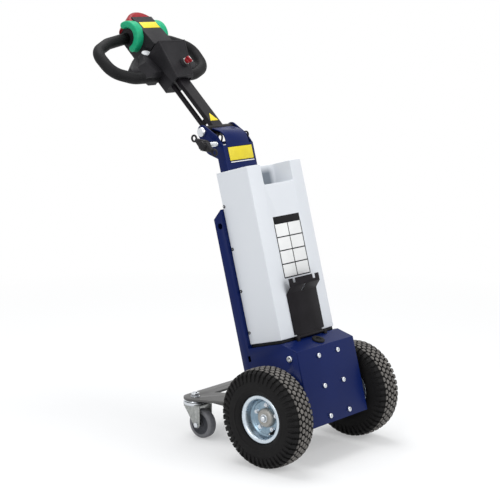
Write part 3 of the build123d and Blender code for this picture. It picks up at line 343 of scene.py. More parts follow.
def moved(piece, place):
    """Carry a piece by a matrix and leave its object at the origin."""
    only(piece)
    piece.matrix_world = place
    bpy.ops.object.transform_apply(location=True, rotation=True, scale=True)
    return piece


def shift(across, along, up):
    """A move by millimetres."""
    return Matrix.Translation((across * MM, along * MM, up * MM))


def sheet_plate(outline, thickness, edge=0.0, segments=2):
    """A plate square to X, from an outline of (along, up) points."""
    bpy.ops.object.select_all(action="DESELECT")
    bpy.ops.mesh.primitive_circle_add(vertices=len(outline), fill_type="NGON")
    piece = bpy.context.object
    for vertex, (along, up) in zip(piece.data.vertices, outline):
        vertex.co = (-thickness / 2 * MM, along * MM, up * MM)
    bpy.ops.object.mode_set(mode="EDIT")
    bpy.ops.mesh.select_all(action="SELECT")
    bpy.ops.mesh.extrude_region_move(TRANSFORM_OT_translate={"value": (thickness * MM, 0, 0)})
    bpy.ops.mesh.select_all(action="SELECT")
    bpy.ops.mesh.normals_make_consistent(inside=False)
    bpy.ops.object.mode_set(mode="OBJECT")
    return rounded(piece, edge, segments) if edge else piece


def ring_of(piece, count):
    """Repeat a piece evenly round the X axis."""
    only(piece)
    bpy.ops.object.mode_set(mode="EDIT")
    bpy.ops.mesh.select_all(action="SELECT")
    bpy.ops.mesh.spin(steps=count - 1, dupli=True, angle=tau * (count - 1) / count,
                      center=(0, 0, 0), axis=(1, 0, 0))
    bpy.ops.object.mode_set(mode="OBJECT")
    return piece


def joined(pieces):
    """Make one piece of several."""
    only(*pieces)
    bpy.ops.object.join()
    return bpy.context.object


def twin(piece):
    """A copy of a piece with its own mesh."""
    other = piece.copy()
    other.data = piece.data.copy()
    bpy.context.scene.collection.objects.link(other)
    return other


def wheel_place(side):
    """Carries a wheel piece that faces +X to its side of the machine."""
    way, turn = (1, 0) if side == "left" else (-1, pi)
    middle = Matrix.Translation((way * TRACK / 2 * MM, AXLE.y, AXLE.z))
    return middle @ Matrix.Rotation(turn, 4, "Z")


tyre_rubber, wire = new_finish("tyre rubber")
grain = wire.noise(900.0, 3.0)
dust = wire.noise(70.0, 4.0)
worn = wire.from_axle().above(WORN_FROM, WORN_SOFT) * (0.55 + 0.45 * dust.above(0.45, 0.4))
black = dust.tint((0.0065, 0.0062, 0.0065), (0.0135, 0.0130, 0.0130))
surface(wire, {
    "Base Color": worn.tint(black, (0.190, 0.178, 0.165)),
    "Roughness": 0.50 + 0.25 * grain,
    "Specular IOR Level": 0.12,
    "Normal": grain.bump(0.3, 0.0004)})

half_pitch = pi / PITCHES
outline = [(-across, radius) for across, radius in CARCASS[:-1]]
outline += list(reversed(CARCASS))
parts = [spun(outline, WHEEL_STEPS)]
for row, (across, top, tilt, half, length) in enumerate(BLOCK_ROWS):
    for way in ((1,) if across == 0 else (-1, 1)):
        block = prism(6, 1, 1)
        block.scale = (half / cos(pi / 6), length / 2, BLOCK_TALL)
        bpy.ops.object.transform_apply(location=True, rotation=True, scale=True)
        rounded(block, BLOCK_EDGE)
        lean = Matrix.Rotation(way * radians(tilt), 4, "Y")
        stagger = Matrix.Rotation(half_pitch * (row % 2), 4, "X")
        moved(block, stagger @ shift(way * across, 0, top - BLOCK_TALL / 2) @ lean)
        parts.append(ring_of(block, PITCHES))
for across, radius, tilt, wide, length, deep in SHOULDER_RIBS:
    for way in (-1, 1):
        rib = slab((wide, length, deep), (0, 0, -deep / 2), RIB_EDGE)
        lean = Matrix.Rotation(way * radians(tilt), 4, "Y")
        moved(rib, shift(way * across, 0, radius) @ lean)
        parts.append(ring_of(rib, PITCHES))
tyre_left = joined(parts)
tyre_right = twin(tyre_left)
for side, tyre in (("left", tyre_left), ("right", tyre_right)):
    tyre.name = f"block_tyre_{side}"
    moved(tyre, wheel_place(side))
    dress(tyre, tyre_rubber, f"drive_wheel_{side}", "tyre_rubber", f"tyre_{side}", angle=40)

# Rims: two deep pressings back to back with a rolled lip, zinc plated with the blue cast of
# its passivation, and clamped together by five bolts round the hub.
# Columns: place across, radius. Half a section, from the web out and round the lip.
RIM_LINE = (
    (2.5, 24.8), (2.5, 40.5), (3.1, 42.2), (4.6, 43.4), (6.0, 44.6), (7.0, 46.6), (8.6, 48.4),
    (11.0, 49.4), (20.0, 50.2), (24.0, 50.8), (26.6, 51.9), (28.3, 53.4), (29.4, 55.4),
    (29.9, 57.8), (29.9, 60.0), (29.3, 61.8), (28.3, 62.8), (27.5, 62.8), (27.0, 62.0),
    (27.0, 60.5), (27.3, 57.0), (26.4, 54.6), (24.0, 53.4))
# Radius at which the dish ends and the paler lip starts, in metres.
LIP_FROM = 0.0490
CLAMP_BOLTS = 5
CLAMP_CIRCLE = 33.6
# Columns: place across, radius.
WASHER_LINE = ((2.4, 0), (2.4, 6.6), (3.4, 6.6), (3.8, 6.2), (3.8, 0))
BOLT_END_LINE = ((8.0, 0), (8.0, 2.9), (10.2, 2.9), (10.8, 2.3), (10.8, 0))
# The bolt head's radius over its corners, and its height.
BOLT_HEAD = (5.9, 5.0)
BOLT_HEAD_PLACE = 6.2

zinc_rim, wire = new_finish("zinc plated rim")
spangle = wire.noise(90.0, 3.0)
streak = wire.noise(160.0, 3.0, (0.2, 1, 1))
dish = spangle.tint((0.13, 0.21, 0.28), (0.33, 0.42, 0.49))
lip = spangle.tint((0.46, 0.54, 0.61), (0.72, 0.78, 0.83))
surface(wire, {
    "Base Color": wire.from_axle().above(LIP_FROM, 0.001).tint(dish, lip),
    "Metallic": 1.0,
    "Roughness": 0.20 + 0.2 * streak,
    "Normal": wire.noise(500.0).bump(0.06, 0.0003)})
zinc_plate = finish("bright zinc plate", (0.56, 0.59, 0.62), (0.74, 0.76, 0.79),
                    clouds=220.0, grain=700.0, depth=0.00015, rough=0.20,
                    shine={"Metallic": 1.0})

outline = list(RIM_LINE) + [(-across, radius) for across, radius in reversed(RIM_LINE)]
rim_left = spun(outline, WHEEL_STEPS)
rim_right = twin(rim_left)
washer = spun(WASHER_LINE, steps=24)
head = moved(prism(6, *BOLT_HEAD, edge=0.6), shift(BOLT_HEAD_PLACE, 0, 0) @ SIDEWAYS)
end = spun(BOLT_END_LINE, steps=16)
bolts = moved(joined([washer, head, end]), shift(0, 0, CLAMP_CIRCLE))
bolts_left = ring_of(bolts, CLAMP_BOLTS)
bolts_right = twin(bolts_left)
for side, rim, bolts in (("left", rim_left, bolts_left), ("right", rim_right, bolts_right)):
    rim.name = f"pressed_rim_{side}"
    moved(rim, wheel_place(side))
    dress(rim, zinc_rim, f"drive_wheel_{side}", "zinc_rim", f"rim_{side}", angle=50)
    bolts.name = f"rim_bolts_{side}"
    moved(bolts, wheel_place(side))
    dress(bolts, zinc_plate, f"drive_wheel_{side}", "zinc_plate")

# Hubs: a grey machined cap over the end of the drive shaft, with a bright dome nut, and a
# black rubber valve with a metal core beside it.
# Columns: place along the axle, radius.
HUB_LINE = (
    (-108.3, 0), (-108.3, 10), (-22, 10), (-18, 20), (-9, 20), (-3.5, 24.2), (-2.5, 25), (7.4, 25),
    (9.4, 24.4), (12.2, 21.6), (13.6, 19.6), (13.7, 16.6), (13.1, 16.0), (13.1, 12.6),
    (13.8, 12.0), (13.8, 0))
DOME_LINE = (
    (13.7, 0), (13.7, 11.0), (14.8, 11.0), (15.2, 10.6), (15.2, 8.4), (19.0, 8.2), (20.8, 7.2),
    (22.2, 5.0), (22.8, 2.6), (22.95, 0))
VALVE_LINE = (
    (2.6, 0), (2.6, 6.4), (4.0, 6.2), (6.5, 4.6), (9.0, 3.9), (14.5, 3.6), (15.0, 4.1), (22.2, 4.1),
    (23.6, 3.4), (23.6, 0))
CORE_LINE = ((23.4, 0), (23.4, 2.2), (24.3, 1.9), (24.45, 0))
VALVE_CIRCLE = 43.0
VALVE_ANGLE = radians(52.0)

hub_grey = finish("hub casting", (0.31, 0.30, 0.275), (0.42, 0.41, 0.385),
                  clouds=80.0, grain=500.0, depth=0.0003, rough=0.38,
                  shine={"Metallic": 0.6})
black_rubber = finish("black rubber", (0.0075, 0.0075, 0.008), (0.014, 0.014, 0.015),
                      clouds=40.0, grain=1400.0, depth=0.0003, rough=0.50,
                      shine={"Specular IOR Level": 0.14})

for side in ("left", "right"):
    place = wheel_place(side)
    hub = moved(spun(HUB_LINE, steps=64), place)
    hub.name = f"hub_cap_{side}"
    dress(hub, hub_grey, f"drive_wheel_{side}", "hub_grey", f"hub_{side}")
    dome = moved(spun(DOME_LINE, steps=40), place)
    dome.name = f"dome_nut_{side}"
    dress(dome, zinc_plate, f"drive_wheel_{side}", "zinc_plate")
    way = 1 if side == "right" else -1
    spot = shift(0, way * VALVE_CIRCLE * cos(VALVE_ANGLE), -VALVE_CIRCLE * sin(VALVE_ANGLE))
    valve = moved(spun(VALVE_LINE, steps=24), place @ spot)
    valve.name = f"valve_stem_{side}"
    dress(valve, black_rubber, f"drive_wheel_{side}", "black_rubber", f"valve_{side}")
    core = moved(spun(CORE_LINE, steps=16), place @ spot)
    core.name = f"valve_core_{side}"
    dress(core, zinc_plate, f"drive_wheel_{side}", "zinc_plate")

# Battery tray: a plain mat of moulded black rubber, which lies on the shelf of the chassis and
# has the case standing in it.
softened("battery_tray", black_rubber, "black_rubber", width=0.8)

# Battery case: a sheet steel box coated in smooth cool white, its front slightly crowned, with
# a hand recess at the top and a column of small screws down each side that holds the shell.
CASE_SIZE = (217.4, 109.0, 454.3)
CASE_MIDDLE = (0, 21.5, 408.35)
CASE_FLAT = 61.0
CASE_CROWN = 4.0
RECESS_SIZE = (118.0, 90.0, 90.0)
RECESS_MIDDLE = (0, -20.0, 626.5)
SCREW_HEIGHTS = (547.0, 434.0, 322.5, 212.0)
SCREW_DEPTH = 71.0
# Columns: place out of the face, radius.
SCREW_LINE = ((-0.5, 0), (-0.5, 4.4), (0.5, 4.4), (1.4, 3.6), (1.8, 2.2), (1.2, 1.9), (1.2, 0))
PLUG_LINE = ((0.9, 0), (0.9, 1.7), (1.7, 1.5), (1.8, 0))
# The part of the recess's walls that is painted darker as shade, in the case's own frame, in
# metres: from, to.
RECESS_SHADE_ACROSS = (-0.0592, 0.048)
RECESS_SHADE_DEPTH = (0.006, 0.0262)
RECESS_SHADE_HEIGHT = (0.579, 0.624)

white_case, wire = new_finish("white case coat")
clouds = wire.noise(5.0, 3.0)
peel = wire.noise(900.0, 1.0)
along = wire.place(1) - AXLE.y
up = wire.place(2) - AXLE.z
depth = along * cos(radians(LEAN)) - up * sin(radians(LEAN))
height = along * sin(radians(LEAN)) + up * cos(radians(LEAN))
across = wire.place(0)
# Painted shade: the hand recess's floor and walls are darkened, more towards its back wall, where
# shadow falls in the recess.
recess_shade = across.above(RECESS_SHADE_ACROSS[0], 0.0004) * height.above(RECESS_SHADE_HEIGHT[0], 0.002)
recess_shade = recess_shade * depth.above(RECESS_SHADE_DEPTH[0], 0.034) * (1 - depth.above(RECESS_SHADE_DEPTH[1], 0.0006))
recess_shade = recess_shade * (1 - height.above(RECESS_SHADE_HEIGHT[1], 0.020))
recess_shade = recess_shade * (1 - across.above(RECESS_SHADE_ACROSS[1], 0.020)) * (0.8 + 0.2 * clouds)
coat = clouds.above(0.5, 0.7).tint((0.74, 0.76, 0.79), (0.69, 0.715, 0.75))
# The base colour is the white coat, turned dark blue-grey where the painted shade of the recess
# lies.
surface(wire, {
    "Base Color": recess_shade.tint(coat, (0.10, 0.125, 0.155)),
    "Roughness": 0.40 + 0.12 * clouds,
    "Normal": peel.bump(0.08, 0.0003)})
black_steel = finish("blackened steel", (0.012, 0.012, 0.013), (0.03, 0.03, 0.032),
                     clouds=300.0, grain=900.0, depth=0.0002, rough=0.35,
                     shine={"Metallic": 0.3})

case = slab(CASE_SIZE, CASE_MIDDLE)
bpy.ops.object.mode_set(mode="EDIT")
for way in (-1, 1):
    bpy.ops.mesh.select_all(action="SELECT")
    bpy.ops.mesh.bisect(plane_co=(way * CASE_FLAT * MM, 0, 0), plane_no=(1, 0, 0))
bpy.ops.mesh.select_all(action="DESELECT")
bpy.ops.object.mode_set(mode="OBJECT")
for vertex in case.data.vertices:
    vertex.select = abs(vertex.co.x) < (CASE_FLAT + 1) * MM and vertex.co.y < 0
bpy.ops.object.mode_set(mode="EDIT")
bpy.ops.transform.translate(value=(0, -CASE_CROWN * MM, 0))
bpy.ops.object.mode_set(mode="OBJECT")
recess = slab(RECESS_SIZE, RECESS_MIDDLE, edge=5.0, segments=3)
cut = case.modifiers.new("Recess", "BOOLEAN")
cut.operation = "DIFFERENCE"
cut.solver = "EXACT"
cut.object = recess
only(case)
bpy.ops.object.modifier_apply(modifier=cut.name)
bpy.data.objects.remove(recess)
moved(rounded(case, width=2.5, segments=3), BODY)
case.name = "case_shell"
dress(case, white_case, "frame", "white_case", "battery_case")

screws, plugs = [], []
for way in (-1, 1):
    for height in SCREW_HEIGHTS:
        out = Matrix.Rotation(0 if way > 0 else pi, 4, "Z")
        spot = BODY @ shift(way * CASE_SIZE[0] / 2, SCREW_DEPTH, height) @ out
        screws.append(moved(spun(SCREW_LINE, steps=20), spot))
        plugs.append(moved(spun(PLUG_LINE, steps=12), spot))
screws, plugs = joined(screws), joined(plugs)
screws.name = "case_screws"
plugs.name = "case_screw_plugs"
dress(screws, black_steel, "frame", "black_coat")
dress(plugs, zinc_plate, "frame", "zinc_plate")

# Sticker on the case front: a white film with a black head band and thin rules round eight
# plain fields, stuck on below the hand recess.
FACE = -37.0
STICKER_HALF = 53.5
STICKER_LOW = 334.0
STICKER_HIGH = 495.0
BAND_LOW = 475.0
FIELD_ROWS = 4
RULE = 3.0
# Place of the outer rules' middle from the film's edge.
RULE_INSET = 1.4
FILM_THICK = 0.5
INK_THICK = 0.7
INK_MARGIN = 1.0
INK_EDGE = 0.1

sticker_film = finish("sticker film", (0.80, 0.80, 0.79), (0.86, 0.86, 0.85),
                      clouds=30.0, grain=900.0, depth=0.0001, rough=0.30)
sticker_ink = finish("sticker ink", (0.009, 0.009, 0.010), (0.015, 0.015, 0.016),
                     clouds=30.0, grain=900.0, depth=0.0001, rough=0.45,
                     shine={"Specular IOR Level": 0.08})
film = slab((2 * STICKER_HALF, FILM_THICK, STICKER_HIGH - STICKER_LOW),
            (0, FACE, (STICKER_HIGH + STICKER_LOW) / 2), edge=0.12)
film.name = "sticker_film"
dress(moved(film, BODY), sticker_film, "frame", "white_case")
field = (BAND_LOW - STICKER_LOW) / FIELD_ROWS
rules = [slab((2 * STICKER_HALF - INK_MARGIN, INK_THICK, STICKER_HIGH - BAND_LOW),
              (0, FACE, (STICKER_HIGH + BAND_LOW) / 2), INK_EDGE)]
for row in range(FIELD_ROWS):
    rules.append(slab((2 * STICKER_HALF - 2 * INK_MARGIN, INK_THICK, RULE),
                      (0, FACE, STICKER_LOW + INK_MARGIN + row * field), INK_EDGE))
for across in (RULE_INSET - STICKER_HALF, 0, STICKER_HALF - RULE_INSET):
    rules.append(slab((RULE, INK_THICK, BAND_LOW - STICKER_LOW - INK_MARGIN),
                      (across, FACE, (BAND_LOW + STICKER_LOW) / 2), INK_EDGE))
rules = joined(rules)
rules.name = "sticker_rules"
dress(moved(rules, BODY), sticker_ink, "frame", "black_moulding")

# Latch plate and its hinge: folded steel in a satin black coat, with a jogged finger lip. The
# plate swings forward on the pin at its foot to let the case out.
black_coat = finish("satin black coat", (0.0070, 0.0060, 0.0075), (0.0140, 0.0125, 0.0148),
                    clouds=25.0, grain=700.0, depth=0.0003, rough=0.30,
                    shine={"Specular IOR Level": 0.09})
for node in ("battery_latch", "latch_hinge"):
    softened(node, black_coat, "black_coat", width=0.6)

# Grommet for the charging lead: a turned ring of black rubber with a slit membrane across it,
# pressed into the hole in the sloping nose.
NOSE_MIDDLE = (-61.45, 159.5)
NOSE_PITCH = radians(29.59)
LIP_SIZE = (6.2, 12.0, 1.6)
LIP_OUT = 3.4
LIP_RISE = 2.4

softened("cable_grommet", black_rubber, "black_rubber", width=0.6)
nose = BODY @ shift(0, *NOSE_MIDDLE) @ Matrix.Rotation(NOSE_PITCH, 4, "X")
lips = joined([slab(LIP_SIZE, (way * LIP_OUT, 0, LIP_RISE), edge=0.5) for way in (-1, 1)])
lips.name = "grommet_lips"
dress(moved(lips, nose), black_rubber, "frame", "black_rubber")

# Bolts of the tow hitch plate and the nose: zinc plated steel with button heads and hexagon
# sockets, screwed into the front panel and the sides of the chassis.
for node in ("hitch_bolts", "side_bolts"):
    softened(node, zinc_plate, "zinc_plate", width=0.4)

# Column head: a plate rolled into a roof between two cheeks, in the body's blue, with a blank
# yellow plate riveted to its front and a thin white strip under that.
PLATE_FACE = 77.0

softened("column_head", blue_paint, "blue_paint", width=0.6)
yellow_plate = finish("yellow plate", (0.76, 0.60, 0.012), (0.83, 0.68, 0.02),
                      clouds=60.0, grain=800.0, depth=0.0002, rough=0.32)
# Columns: name, size, place across, height, width of the edge, finish, slot.
HEAD_PLATES = (
    ("head_plate_border", (97.0, 0.8, 38.6), 4.2, 682.0, 0.2, sticker_ink, "black_moulding"),
    ("head_plate", (94.0, 1.6, 35.4), 4.2, 682.0, 0.3, yellow_plate, "gauge_white"),
    ("head_strip", (93.0, 0.9, 2.6), 5.5, 659.8, 0.2, sticker_film, "white_case"))
for name, size, across, up, edge, coat, slot in HEAD_PLATES:
    plate = slab(size, (across, PLATE_FACE, up), edge)
    plate.name = name
    dress(moved(plate, BODY), coat, "frame", slot)

# Pivot bolt, clamping stud and knob: zinc plated steel, the stud threaded outside the cheek,
# and a moulded knob whose two wings end in rings.
STUD_PLACE = (99.61, 714.69)
KNOB_ACROSS = -106.0
THREAD_START = -93.0
THREAD_END = -62.0
THREAD_PITCH = 2.0
THREAD_ROOT = 5.4
THREAD_CREST = 6.4
# Columns: place across, radius. The stud's end inside the knob, and the rest of it from the
# near cheek on.
STUD_ENDS = ((KNOB_ACROSS, 0), (KNOB_ACROSS, 4.6), (THREAD_START, 4.6))
STUD_FAR = (
    (-60.0, THREAD_CREST), (-60.0, 4.9), (60.0, 4.9), (60.0, 9.0), (61.0, 9.0), (61.4, 8.4),
    (61.4, 5.0), (64.6, 5.0), (65.0, 4.5), (65.0, 0))
# A nut's radius over its corners, and its height.
STUD_NUT = (8.2, 3.2)
STUD_NUT_PLACE = 62.8
# Columns: place across, radius. The pivot bolt, from one head to the other.
PIVOT_LINE = (
    (-69.0, 0), (-69.0, 9.6), (-68.3, 11.2), (-66.6, 12.5), (-60.2, 12.8), (-60.2, 8.0),
    (60.2, 8.0), (60.2, 12.8), (66.6, 12.5), (68.3, 11.2), (69.0, 9.6), (69.0, 0))
# Columns: place across, radius. The knob's hub.
HUB_PROFILE = (
    (-119.0, 0), (-119.0, 9.0), (-118.2, 10.6), (-114.0, 12.6), (-110.0, 13.4), (-100.0, 13.4),
    (-96.0, 12.2), (-93.4, 11.4), (-93.0, 10.8), (-93.0, 0))
HUB_FLUTES = 12
FLUTE_SIZE = (17.0, 3.0, 2.6)
FLUTE_CIRCLE = 13.2
# Columns: place along the wings, half width there.
WING_OUTLINE = (
    (-33.0, 4.4), (-24.0, 6.8), (-15.0, 10.6), (-7.0, 13.0), (7.0, 13.0), (15.0, 10.6),
    (24.0, 6.8), (33.0, 4.4))
WING_THICK = 13.0
RING_SPREAD = 39.5
RING_RADIUS = 7.9
RING_WIRE = 2.7
KNOB_TURN = radians(39.0)

pivot_low, pivot_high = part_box("pivot_bolt")
PIVOT = (pivot_low + pivot_high) / 2
bolt = moved(spun(PIVOT_LINE, steps=40), Matrix.Translation((0, PIVOT.y, PIVOT.z)))
bolt.name = "pivot_pin"
dress(bolt, zinc_plate, "frame", "zinc_plate", "pivot_bolt")
outline = list(STUD_ENDS)
for turn in range(int((THREAD_END - THREAD_START) / THREAD_PITCH)):
    start = THREAD_START + turn * THREAD_PITCH
    outline += [(start, THREAD_ROOT), (start + THREAD_PITCH / 2, THREAD_CREST)]
outline += [(THREAD_END, THREAD_ROOT), *STUD_FAR]
stud = spun(outline, steps=32)
nut = moved(prism(6, *STUD_NUT, edge=0.4), shift(STUD_NUT_PLACE, 0, 0) @ SIDEWAYS)
stud = moved(joined([stud, nut]), BODY @ shift(0, *STUD_PLACE))
stud.name = "threaded_stud"
dress(stud, zinc_plate, "frame", "zinc_plate", "clamp_stud")
black_moulding = finish("black moulding", (0.0125, 0.0120, 0.0140), (0.021, 0.020, 0.0225),
                        clouds=30.0, grain=1600.0, depth=0.0003, rough=0.40,
                        shine={"Specular IOR Level": 0.16})
wings = list(WING_OUTLINE) + [(along, -half) for along, half in reversed(WING_OUTLINE)]
wings = sheet_plate(wings, WING_THICK, edge=3.6, segments=3)
moved(wings, shift(KNOB_ACROSS, 0, 0))
flutes = ring_of(slab(FLUTE_SIZE, (KNOB_ACROSS, 0, FLUTE_CIRCLE), edge=0.7), HUB_FLUTES)
rings = []
for way in (-1, 1):
    bpy.ops.mesh.primitive_torus_add(major_radius=RING_RADIUS * MM, minor_radius=RING_WIRE * MM,
                                     major_segments=40, minor_segments=14)
    spot = shift(KNOB_ACROSS, way * RING_SPREAD, 0)
    rings.append(moved(bpy.context.object, spot @ SIDEWAYS))
knob = joined([spun(HUB_PROFILE, steps=48), wings, flutes, *rings])
moved(knob, BODY @ shift(0, *STUD_PLACE) @ Matrix.Rotation(KNOB_TURN, 4, "X"))
knob.name = "ring_knob"
dress(knob, black_moulding, "frame", "black_moulding", "clamp_knob")

# Tail plate: flame cut steel in a grey-brown coat, with its two gussets welded under it. It
# stands out behind the chassis and carries both castors.
tail_steel = finish("tail plate coat", (0.085, 0.084, 0.083), (0.135, 0.134, 0.132),
                    clouds=20.0, grain=500.0, depth=0.0003, rough=0.32,
                    shine={"Metallic": 0.5})
softened("tail_plate", tail_steel, "tail_steel", width=0.8)

# Castors: pressed zinc plated forks on a ball race, each with a king nut above, an axle bolt,
# and a wheel of grey rubber on a dark core between two thread guards.
CASTOR_SPOT = 111.0
CASTOR_TRAIL = 27.0
CASTOR_RADIUS = 40.0
# Columns: height, radius. The kingpin with its upper race, from its rivet up.
KING_LINE = (
    (87.4, 0), (87.4, 9.0), (88.4, 12.0), (91.4, 12.0), (91.4, 6.0), (98.4, 6.0), (98.4, 27.0),
    (99.0, 28.6), (100.4, 29.2), (101.6, 28.6), (102.2, 26.6), (104.0, 25.8), (104.0, 6.0),
    (110.0, 6.0), (110.0, 12.6), (111.4, 12.6), (111.8, 12.2), (111.8, 6.0), (122.2, 6.0),
    (123.0, 5.2), (123.0, 0))
# Columns: height, radius. The lower race, crimped over the fork's crown.
RACE_LINE = (
    (90.2, 20.0), (90.2, 30.4), (91.2, 31.6), (94.0, 32.4), (96.6, 32.4), (98.0, 31.2),
    (98.0, 20.0))
# Columns: place along the machine from the pin, height. A leg of the fork, seen from the side.
LEG_OUTLINE = (
    (21.0, 94.6), (19.5, 86.0), (6.0, 70.0), (-9.5, 47.0), (-17.0, 36.4), (-24.0, 31.6),
    (-30.5, 31.4), (-35.5, 34.6), (-38.0, 41.0), (-38.0, 94.6))
LEG_OUT = 24.0
FORK_SHEET = 3.0
CROWN_SIZE = (51.0, 59.0, FORK_SHEET)
CROWN_MIDDLE = (0, -8.5, 93.2)
KING_NUT = (11.6, 8.2)
KING_NUT_HEIGHT = 116.0
AXLE_NUT = (7.4, 4.0)
AXLE_NUT_OUT = 27.4
# Columns: place across, radius.
TREAD_LINE = (
    (-12.5, 29.2), (-12.5, 35.4), (-11.6, 37.6), (-9.4, 39.15), (-5.0, 39.85), (0, 39.95),
    (5.0, 39.85), (9.4, 39.15), (11.6, 37.6), (12.5, 35.4), (12.5, 29.2))
CORE_DISC = (
    (-11.5, 4.1), (-11.5, 9.0), (-9.0, 10.5), (-8.0, 24.0), (-10.6, 26.5), (-11.5, 28.9),
    (11.5, 28.9), (10.6, 26.5), (8.0, 24.0), (9.0, 10.5), (11.5, 9.0), (11.5, 4.1))

castor_rubber = finish("grey castor rubber", (0.135, 0.135, 0.145), (0.19, 0.19, 0.20),
                       clouds=60.0, grain=900.0, depth=0.0003, rough=0.5,
                       shine={"Specular IOR Level": 0.3})
castor_core = finish("castor core", (0.035, 0.037, 0.044), (0.055, 0.057, 0.066),
                     clouds=60.0, grain=500.0, depth=0.0003, rough=0.42,
                     shine={"Specular IOR Level": 0.2})
fork_zinc = finish("dull zinc fork", (0.25, 0.26, 0.25), (0.42, 0.43, 0.42),
                   clouds=140.0, grain=400.0, depth=0.0003, rough=0.30,
                   shine={"Metallic": 0.9})
king_low, king_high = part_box("castor_mount_left")
CASTOR_ALONG = (king_low.y + king_high.y) / 2 / MM
for side, way in (("right", -1), ("left", 1)):
    spot = shift(way * CASTOR_SPOT, CASTOR_ALONG, 0)
    king = moved(spun(KING_LINE, steps=40), UPWARD)
    nut = prism(6, *KING_NUT, (0, 0, KING_NUT_HEIGHT), edge=0.7)
    king = moved(joined([king, nut]), spot)
    king.name = f"kingpin_{side}"
    dress(king, zinc_plate, "frame", "zinc_plate", f"castor_mount_{side}")
    legs = [moved(sheet_plate(LEG_OUTLINE, FORK_SHEET, edge=1.0), shift(out * LEG_OUT, 0, 0))
            for out in (-1, 1)]
    crown = slab(CROWN_SIZE, CROWN_MIDDLE, edge=1.0)
    race = moved(spun(RACE_LINE, steps=48), UPWARD)
    fork = moved(joined([crown, *legs]), spot)
    fork.name = f"swivel_fork_{side}"
    dress(fork, fork_zinc, f"castor_fork_{side}", "zinc_plate", f"castor_fork_{side}")
    race = moved(race, spot)
    race.name = f"castor_race_{side}"
    dress(race, zinc_plate, f"castor_fork_{side}", "zinc_plate")
    hubs = spot @ shift(0, -CASTOR_TRAIL, CASTOR_RADIUS)
    heads = joined([
        moved(prism(6, *AXLE_NUT, edge=0.5), hubs @ shift(out * AXLE_NUT_OUT, 0, 0) @ SIDEWAYS)
        for out in (-1, 1)])
    heads.name = f"castor_axle_nuts_{side}"
    dress(heads, zinc_plate, f"castor_fork_{side}", "zinc_plate")
    tread = moved(spun(TREAD_LINE, steps=56), hubs)
    tread.name = f"castor_tread_{side}"
    dress(tread, castor_rubber, f"castor_wheel_{side}", "castor_rubber", f"castor_tyre_{side}")
    disc = moved(spun(CORE_DISC, steps=48), hubs)
    disc.name = f"castor_disc_{side}"
    dress(disc, castor_core, f"castor_wheel_{side}", "castor_core", f"castor_hub_{side}")

# Tiller arm: a rectangular steel tube in satin black, with the slotted sector plates under it,
# the cable tube behind it and a blank yellow triangle stuck near its foot.
ARM_ANGLE = 43.0
ARM_FACE = 12.5
TRIANGLE_RADIUS = 18.0
TRIANGLE_THICK = 0.5
TRIANGLE_PLACE = (-1.0, 34.0, ARM_FACE + 0.1)

ARM = Matrix.Translation((0, PIVOT.y, PIVOT.z)) @ Matrix.Rotation(radians(ARM_ANGLE), 4, "X")
for node in ("tiller_arm", "arm_conduit"):
    softened(node, black_coat, "black_coat", width=0.6)
triangle = prism(3, TRIANGLE_RADIUS, TRIANGLE_THICK, TRIANGLE_PLACE, edge=0.15)
triangle.name = "arm_triangle"
dress(moved(triangle, ARM), yellow_plate, "tiller", "gauge_white")

# Handle clamp, housing and cowl: black mouldings with soft corners and a fine spark grain, a
# web in the corners between housing and grip, and a small blank yellow plate on the cowl.
COWL_PITCH = radians(-4.51)
COWL_PLATE_SIZE = (66.0, 24.0, 0.9)
COWL_PLATE_PLACE = (4.0, 374.0, 26.85)
# Columns: place along the arm, across it. The far side is the wider one.
WEB_OUTLINE = (
    (246.0, 124.0), (263.0, 122.0), (303.0, 74.0), (316.0, -84.0), (268.0, -146.0),
    (246.0, -124.0))
WEB_RISE = -32.0
WEB_THICK = 24.0

for node, width in (("handle_clamp", 2.5), ("handle_cowl", 1.2)):
    softened(node, black_moulding, "black_moulding", width, segments=3)
softened("handle_housing", black_moulding, "black_moulding", width=6.0, segments=4, angle=12)
web = sheet_plate(WEB_OUTLINE, WEB_THICK, edge=7.0, segments=4)
moved(web, shift(0, 0, WEB_RISE) @ UPWARD)
web.name = "housing_web"
dress(moved(web, ARM), black_moulding, "tiller", "black_moulding")
plate = slab(COWL_PLATE_SIZE, (0, 0, 0.2), edge=0.25)
plate.name = "cowl_plate"
slope = ARM @ shift(*COWL_PLATE_PLACE) @ Matrix.Rotation(COWL_PITCH, 4, "X")
dress(moved(plate, slope), yellow_plate, "tiller", "gauge_white")

# Grip loop: steel tube bent to a closed loop and dipped in a soft black coating, with the
# housing moulded round it.
softened("grip_loop", black_rubber, "grip_rubber", width=0.5)

# Reversing button: a glossy red moulding, round in plan, that caps the end of the housing and
# is pushed by the operator's body.
button_red = finish("red button", (0.24, 0.007, 0.012), (0.31, 0.011, 0.018),
                    clouds=40.0, grain=1200.0, depth=0.0002, rough=0.30,
                    shine={"Specular IOR Level": 0.2})
softened("belly_button", button_red, "button_red", width=1.0)

# Thumb levers: two curved paddles moulded in green with a grained face, each drawn a little
# towards the cowl.
LEVER_INWARD = 5.0
LEVER_ALONG = 3.0
LEVER_RISE = 7.0

lever_green = finish("green lever moulding", (0.008, 0.33, 0.155), (0.013, 0.43, 0.21),
                     clouds=90.0, grain=700.0, depth=0.0006, rough=0.36,
                     shine={"Specular IOR Level": 0.25})
for side, way in (("right", 1), ("left", -1)):
    lever = softened(f"throttle_{side}", lever_green, "lever_green", width=4.5, segments=4)
    moved(lever, ARM @ shift(way * LEVER_INWARD, LEVER_ALONG, LEVER_RISE) @ ARM.inverted())

# Switch console: a wedge-shaped black moulding with a fine rim round its sloping face, seated
# over the clamp and the housing.
CONSOLE_PITCH = radians(19.09)
RIM_MARGIN = 4.2
RIM_GROOVE = 1.2
SAME_WAY = 0.999

